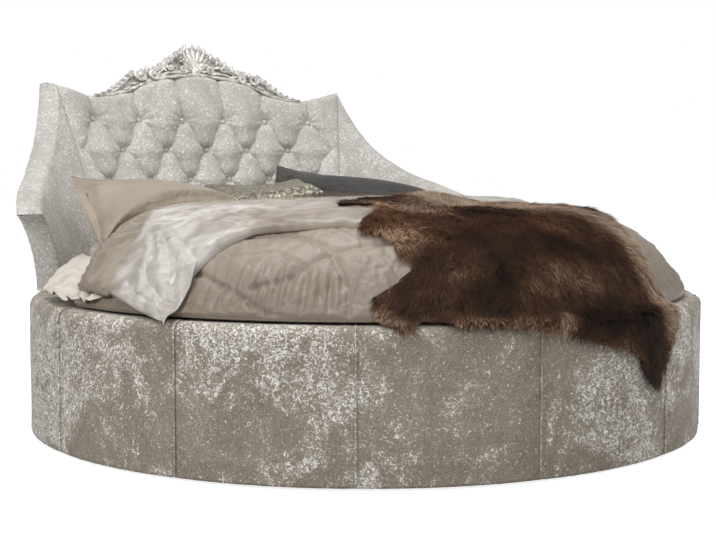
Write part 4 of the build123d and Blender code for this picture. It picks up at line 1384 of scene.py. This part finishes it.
def growHair(name, seed):
    # short tapering blades rooted on the hide, combed from the back outwards
    chance = np.random.default_rng(seed)
    mesh = hidePiece.data
    mesh.calc_loop_triangles()
    places = np.array([corner.co for corner in mesh.vertices])
    flats = np.array(hideSpots)
    corners = np.array([triangle.vertices for triangle in mesh.loop_triangles])
    a, b, c = (places[corners[:, k]] for k in range(3))
    areas = np.linalg.norm(np.cross(b - a, c - a), axis=1)
    count = int(hide["hairs"] * fine)
    picked = chance.choice(len(corners), count, p=areas / areas.sum())
    s, t = chance.random(count), chance.random(count)
    over = s + t > 1
    s[over], t[over] = 1 - s[over], 1 - t[over]
    weights = np.stack([1 - s - t, s, t], 1)[:, :, None]
    roots = (places[corners[picked]] * weights).sum(1)
    flat = (flats[corners[picked]] * weights).sum(1)
    normals = np.cross(b - a, c - a)[picked]
    normals /= np.linalg.norm(normals, axis=1)[:, None]
    x, y = flat[:, 0], flat[:, 1]
    # combing: away from the spine, down the legs, a whorl in the pale patch
    flow = np.stack([(x - 20) / 460, (y + 560) / 520 - 0.35], 1)
    middleX, middleY, reach = hide["whorl"]
    whorl = np.exp(-(((x - middleX) / reach) ** 2 + ((y - middleY) / reach) ** 2))[:, None]
    flow = flow * (1 - whorl) + whorl * np.stack([middleY - y, x - middleX], 1) / 70
    flow += chance.normal(0, 0.22, flow.shape)
    wave = np.array([[wobble((px, py, 0), 120.0, 8.0), wobble((px, py, 3), 120.0, 2.0)]
                     for px, py in flat])
    flow += 0.9 * wave
    ahead = np.concatenate([flow, np.zeros((count, 1))], 1)
    ahead[:, 2] = -0.35
    ahead -= normals * (ahead * normals).sum(1)[:, None]
    ahead /= np.linalg.norm(ahead, axis=1)[:, None] + 1e-9
    side = np.cross(normals, ahead)
    low, high = hide["length"]
    length = (low + (high - low) * chance.random(count) ** 1.4)[:, None]
    rise = (0.28 + 0.30 * chance.random(count))[:, None]
    bend = chance.normal(0, 0.16, count)[:, None]
    rows = []
    for share, thin in ((0, 1.0), (0.42, 0.85), (0.76, 0.5), (1.0, 0.0)):
        spine = (roots + ahead * length * share
                 + normals * length * rise * (1.6 * share - 1.25 * share ** 2)
                 + side * length * bend * share ** 2)
        if thin:
            rows += [spine - side * hide["width"] * thin, spine + side * hide["width"] * thin]
        else:
            rows.append(spine)
    points = np.stack(rows, 1).reshape(-1, 3)
    starts = np.arange(count)[:, None] * 7
    quads = np.concatenate([starts + np.array([0, 1, 3, 2]), starts + np.array([2, 3, 5, 4])])
    tips = starts + np.array([4, 5, 6])
    mesh = bpy.data.meshes.new(name)
    mesh.from_pydata(points.tolist(), [], quads.tolist() + tips.tolist())
    piece = bpy.data.objects.new(name, mesh)
    bpy.context.collection.objects.link(piece)
    luck = chance.random(count)
    shades = []
    for (px, py), one in zip(flat, luck):
        tone, red = hideTone(px, py, one)
        root = furShade(tone * 0.62, red)
        middle = furShade(tone, red)
        tip = furShade(min(tone * 1.25 + 0.03, 1), red)
        shades += [root, root, middle, middle, tip, tip, tip]
    paintFur(piece, shades)
    smoothFaces(piece)
    dress(piece, "throw", "fur", furBrown)
    return piece


paintFur(hidePiece, [furShade(*hideTone(x, y, 0.1)) for x, y in hideSpots])
hairs = [growHair("fur_hair_" + letter, seed) for letter, seed in zip("abcd", (11, 12, 13, 14))]
thicken(hidePiece, hide["thick"], -1.0)
dress(hidePiece, "throw", "fur", furBrown, "fur_throw")
print("fur made")


def readSpot(stations, share):
    # front point, back point and thickness at a share of the pillow's width
    count = len(stations) - 1
    rows = [(*front, *back, thick) for front, back, thick in stations]
    values = [readCurve([(i / count, row[k]) for i, row in enumerate(rows)], share) for k in range(7)]
    return Vector(values[:3]), Vector(values[3:6]), max(values[6], 3)


def pillowAxes(stations, share):
    front, back, thick = readSpot(stations, share)
    ahead = readSpot(stations, min(share + 0.01, 1))
    behind = readSpot(stations, max(share - 0.01, 0))
    along = ((ahead[0] + ahead[1]) - (behind[0] + behind[1])).normalized()
    upward = (back - front).normalized()
    return front, back, thick, along.cross(upward).normalized()


def pillowTrim(stations, hem):
    # the hem as a share of the pillow's width and of its depth
    run = sum((Vector(b[0]) - Vector(a[0])).length for a, b in zip(stations, stations[1:]))
    return hem / run, hem / (Vector(stations[3][1]) - Vector(stations[3][0])).length


swelling = {"cell": 0.006, "pressure": 4.0, "cap": 0.014, "steps": 20}


def swell(piece):
    # cloth blown up from the inside, no point let further out than the cap
    selectOnly(piece)
    piece.data.remesh_voxel_size = swelling["cell"]
    bpy.ops.object.voxel_remesh()
    starts = [corner.co.copy() for corner in piece.data.vertices]
    cloth = piece.modifiers.new("cloth", "CLOTH")
    cloth.settings.use_pressure = True
    cloth.settings.uniform_pressure_force = swelling["pressure"]
    cloth.settings.effector_weights.gravity = 0
    cloth.settings.quality = 4
    cloth.settings.tension_stiffness = 12
    cloth.settings.compression_stiffness = 12
    cloth.settings.bending_stiffness = 0.4
    cloth.collision_settings.use_collision = False
    for step in range(1, swelling["steps"] + 1):
        bpy.context.scene.frame_set(step)
    selectOnly(piece)
    bpy.ops.object.modifier_apply(modifier="cloth")
    bpy.context.scene.frame_set(1)
    for corner, start in zip(piece.data.vertices, starts):
        moved = corner.co - start
        if moved.length > swelling["cap"]:
            corner.co = start + moved * (swelling["cap"] / moved.length)
    applyModifier(piece, "SUBSURF", levels=1, render_levels=1)
    smoothFaces(piece)


def pillowBody(name, stations, hem, plump, creases):
    # crowned cushion whose sides pull in between its corners
    across, along = int(84 * fine), int(60 * fine)
    trimU, trimV = pillowTrim(stations, hem)

    def place(column, row):
        u, turn = row / across, 2 * pi * column / along
        swing = 2 * u - 1
        reach = cos(turn)
        pulledU, pulledV = 1 - 0.035 * (1 - reach ** 2), 1 - 0.05 * (1 - swing ** 2)
        share = 0.5 + swing * (0.5 - trimU) * pulledU
        front, back, thick, out = pillowAxes(stations, share)
        v = 0.5 + reach * (0.5 - trimV) * pulledV
        crown = (1 - abs(swing) ** 2.6) ** 0.62 * max(abs(sin(turn)), 0) ** 0.85
        half = thick * 0.5 * crown * (plump[0] if sin(turn) > 0 else -plump[1])
        rough = creases * wobble((share * 3.1, v * 2.2, 1.0 if half > 0 else 7.0), 0.5) * crown
        tug = creases * 0.8 * sin(38 * v + 5 * share) * exp(-((1 - abs(swing)) / 0.16) ** 2) * crown
        return (front + (back - front) * v + out * (half + rough + tug)) / 1000

    return shapedGrid(name, along, across, place)


def pillowFlange(name, stations, hem):
    # flat double-stitched flap all round the pillow
    trimU, trimV = pillowTrim(stations, hem)
    side, ring = int(90 * fine), []
    corners = [(-1, -1), (1, -1), (1, 1), (-1, 1), (-1, -1)]
    for first, last in zip(corners, corners[1:]):
        for i in range(side):
            ring.append([a + (b - a) * i / side for a, b in zip(first, last)])
    rows = len(ring)
    steps = 7

    def place(column, row):
        swing, reach = ring[row % rows]
        turn = column % (2 * steps)
        way = (turn if turn <= steps else 2 * steps - turn) / steps
        top = turn <= steps
        share = 0.5 + swing * (0.5 - trimU * way * 2.7)
        v = 0.5 + reach * (0.5 - trimV * way * 2.7)
        front, back, thick, out = pillowAxes(stations, share)
        wave = 5.0 * wobble((swing * 2.4, reach * 2.4, 3.0), 0.7) * (1 - way)
        half = (1.7 + 0.5 * way) * (1 if top else -1)
        return (front + (back - front) * v + out * (half + wave)) / 1000

    return shapedGrid(name, 2 * steps, rows, place)


pillows = {
    "pillow_left": {
        "stations": [((-978, 78, 594), (-893, 505, 863), 5), ((-952, 84, 631), (-865, 514, 859), 60),
                     ((-880, 100, 691), (-790, 535, 849), 115), ((-740, 130, 743), (-660, 572, 833), 142),
                     ((-600, 165, 763), (-520, 612, 815), 144), ((-450, 208, 765), (-372, 655, 793), 125),
                     ((-345, 242, 756), (-262, 688, 773), 74), ((-292, 262, 739), (-214, 702, 755), 5)],
        "hem": 46, "plump": (0.52, 1.05), "creases": 4.0, "slot": "pillow_cotton",
    },
    "pillow_dark": {
        "stations": [((90, 722, 752), (284, 978, 897), 5), ((126, 695, 756), (322, 944, 884), 52),
                     ((196, 634, 770), (400, 886, 862), 118), ((300, 545, 770), (505, 800, 838), 146),
                     ((420, 445, 766), (625, 700, 812), 146), ((530, 352, 758), (735, 604, 784), 118),
                     ((612, 282, 736), (814, 534, 756), 62), ((648, 252, 712), (848, 502, 732), 5)],
        "hem": 78, "plump": (0.45, 1.05), "creases": 3.0, "slot": "pillow_slate",
    },
    "cushion_gold": {
        "stations": [((-203, 592, 735), (-192, 868, 828), 5), ((-183, 582, 740), (-168, 858, 823), 34),
                     ((-108, 560, 755), (-88, 834, 807), 56), ((-8, 532, 768), (22, 806, 797), 60),
                     ((92, 504, 785), (132, 778, 808), 56), ((166, 482, 800), (212, 754, 832), 34),
                     ((186, 476, 806), (236, 748, 842), 5)],
        "hem": 4, "plump": (0.6, 1.0), "creases": 2.5, "slot": "sequin_gold",
    },
}
pillowLooks = {
    "pillow_left": (pillowCotton, pillowCotton),
    "pillow_dark": (slateCloth, flangeCloth),
    "cushion_gold": (sequinCloth, None),
}
for name, pillow in pillows.items():
    bodyCloth, edgeCloth = pillowLooks[name]
    body = pillowBody(name + "_body", pillow["stations"], pillow["hem"], pillow["plump"],
                      pillow["creases"])
    swell(body)
    dress(body, name, pillow["slot"], bodyCloth, name)
    if edgeCloth:
        flange = pillowFlange(name + "_flange", pillow["stations"], pillow["hem"])
        dress(flange, name, pillow["slot"], edgeCloth)
print("pillows made")


def makeStage():
    clearSelection()
    bpy.ops.mesh.primitive_plane_add(size=60, location=(0, 0, 0))
    floor = bpy.context.object
    floor.name = "floor"
    # white to the camera and in reflections, with the bed's shadow kept
    made = Recipe("floorWhite", Base_Color=(0.55, 0.55, 0.55, 1), Roughness=1.0, Specular_IOR_Level=0.0,
                  Emission_Color=(1, 1, 1, 1))
    seen = made.add("ShaderNodeLightPath", out=0) + made.add("ShaderNodeLightPath", out=3)
    made.feed(Emission_Strength=seen * 0.84)
    floor.data.materials.append(made.material)
    return floor


floor = makeStage()
for name, spot, width, power in (
        ("lamp_front", (-2.4, -5.0, 3.6), 3.0, 94), ("lamp_left", (-5.4, -0.8, 3.6), 1.8, 132),
        ("lamp_right", (4.6, -3.2, 2.6), 2.8, 70), ("lamp_top", (-0.6, -0.4, 5.2), 2.6, 135),
        ("lamp_back", (1.8, 5.2, 3.6), 3.0, 45)):
    clearSelection()
    bpy.ops.object.light_add(type="AREA", location=spot)
    lamp = bpy.context.object
    lamp.name = name
    lamp.data.size = width
    lamp.data.energy = power
    lamp.rotation_euler = (Vector((0, 0, 0.5)) - Vector(spot)).to_track_quat("-Z", "Y").to_euler()

world = bpy.data.worlds.new("studio")
bpy.context.scene.world = world
world.use_nodes = True
tree = world.node_tree
sky = tree.nodes["Background"]
path = tree.nodes.new("ShaderNodeLightPath")
white = tree.nodes.new("ShaderNodeBackground")
white.inputs["Color"].default_value = (1, 1, 1, 1)
white.inputs["Strength"].default_value = 1.0
sky.inputs["Color"].default_value = (1.0, 0.99, 0.98, 1)
sky.inputs["Strength"].default_value = 0.32
choice = tree.nodes.new("ShaderNodeMixShader")
tree.links.new(path.outputs["Is Camera Ray"], choice.inputs[0])
tree.links.new(sky.outputs[0], choice.inputs[1])
tree.links.new(white.outputs[0], choice.inputs[2])
tree.links.new(choice.outputs[0], tree.nodes["World Output"].inputs["Surface"])

view = {"spot": (-3.014, -3.928, 0.912), "tilt": 85.55, "turn": -37.23, "lens": 69.9, "sensor": 36}
clearSelection()
bpy.ops.object.camera_add(location=view["spot"],
                          rotation=(radians(view["tilt"]), 0, radians(view["turn"])))
camera = bpy.context.object
camera.data.sensor_width = view["sensor"]
camera.data.lens = view["lens"]
bpy.context.scene.camera = camera
bpy.context.scene.view_settings.view_transform = "Standard"
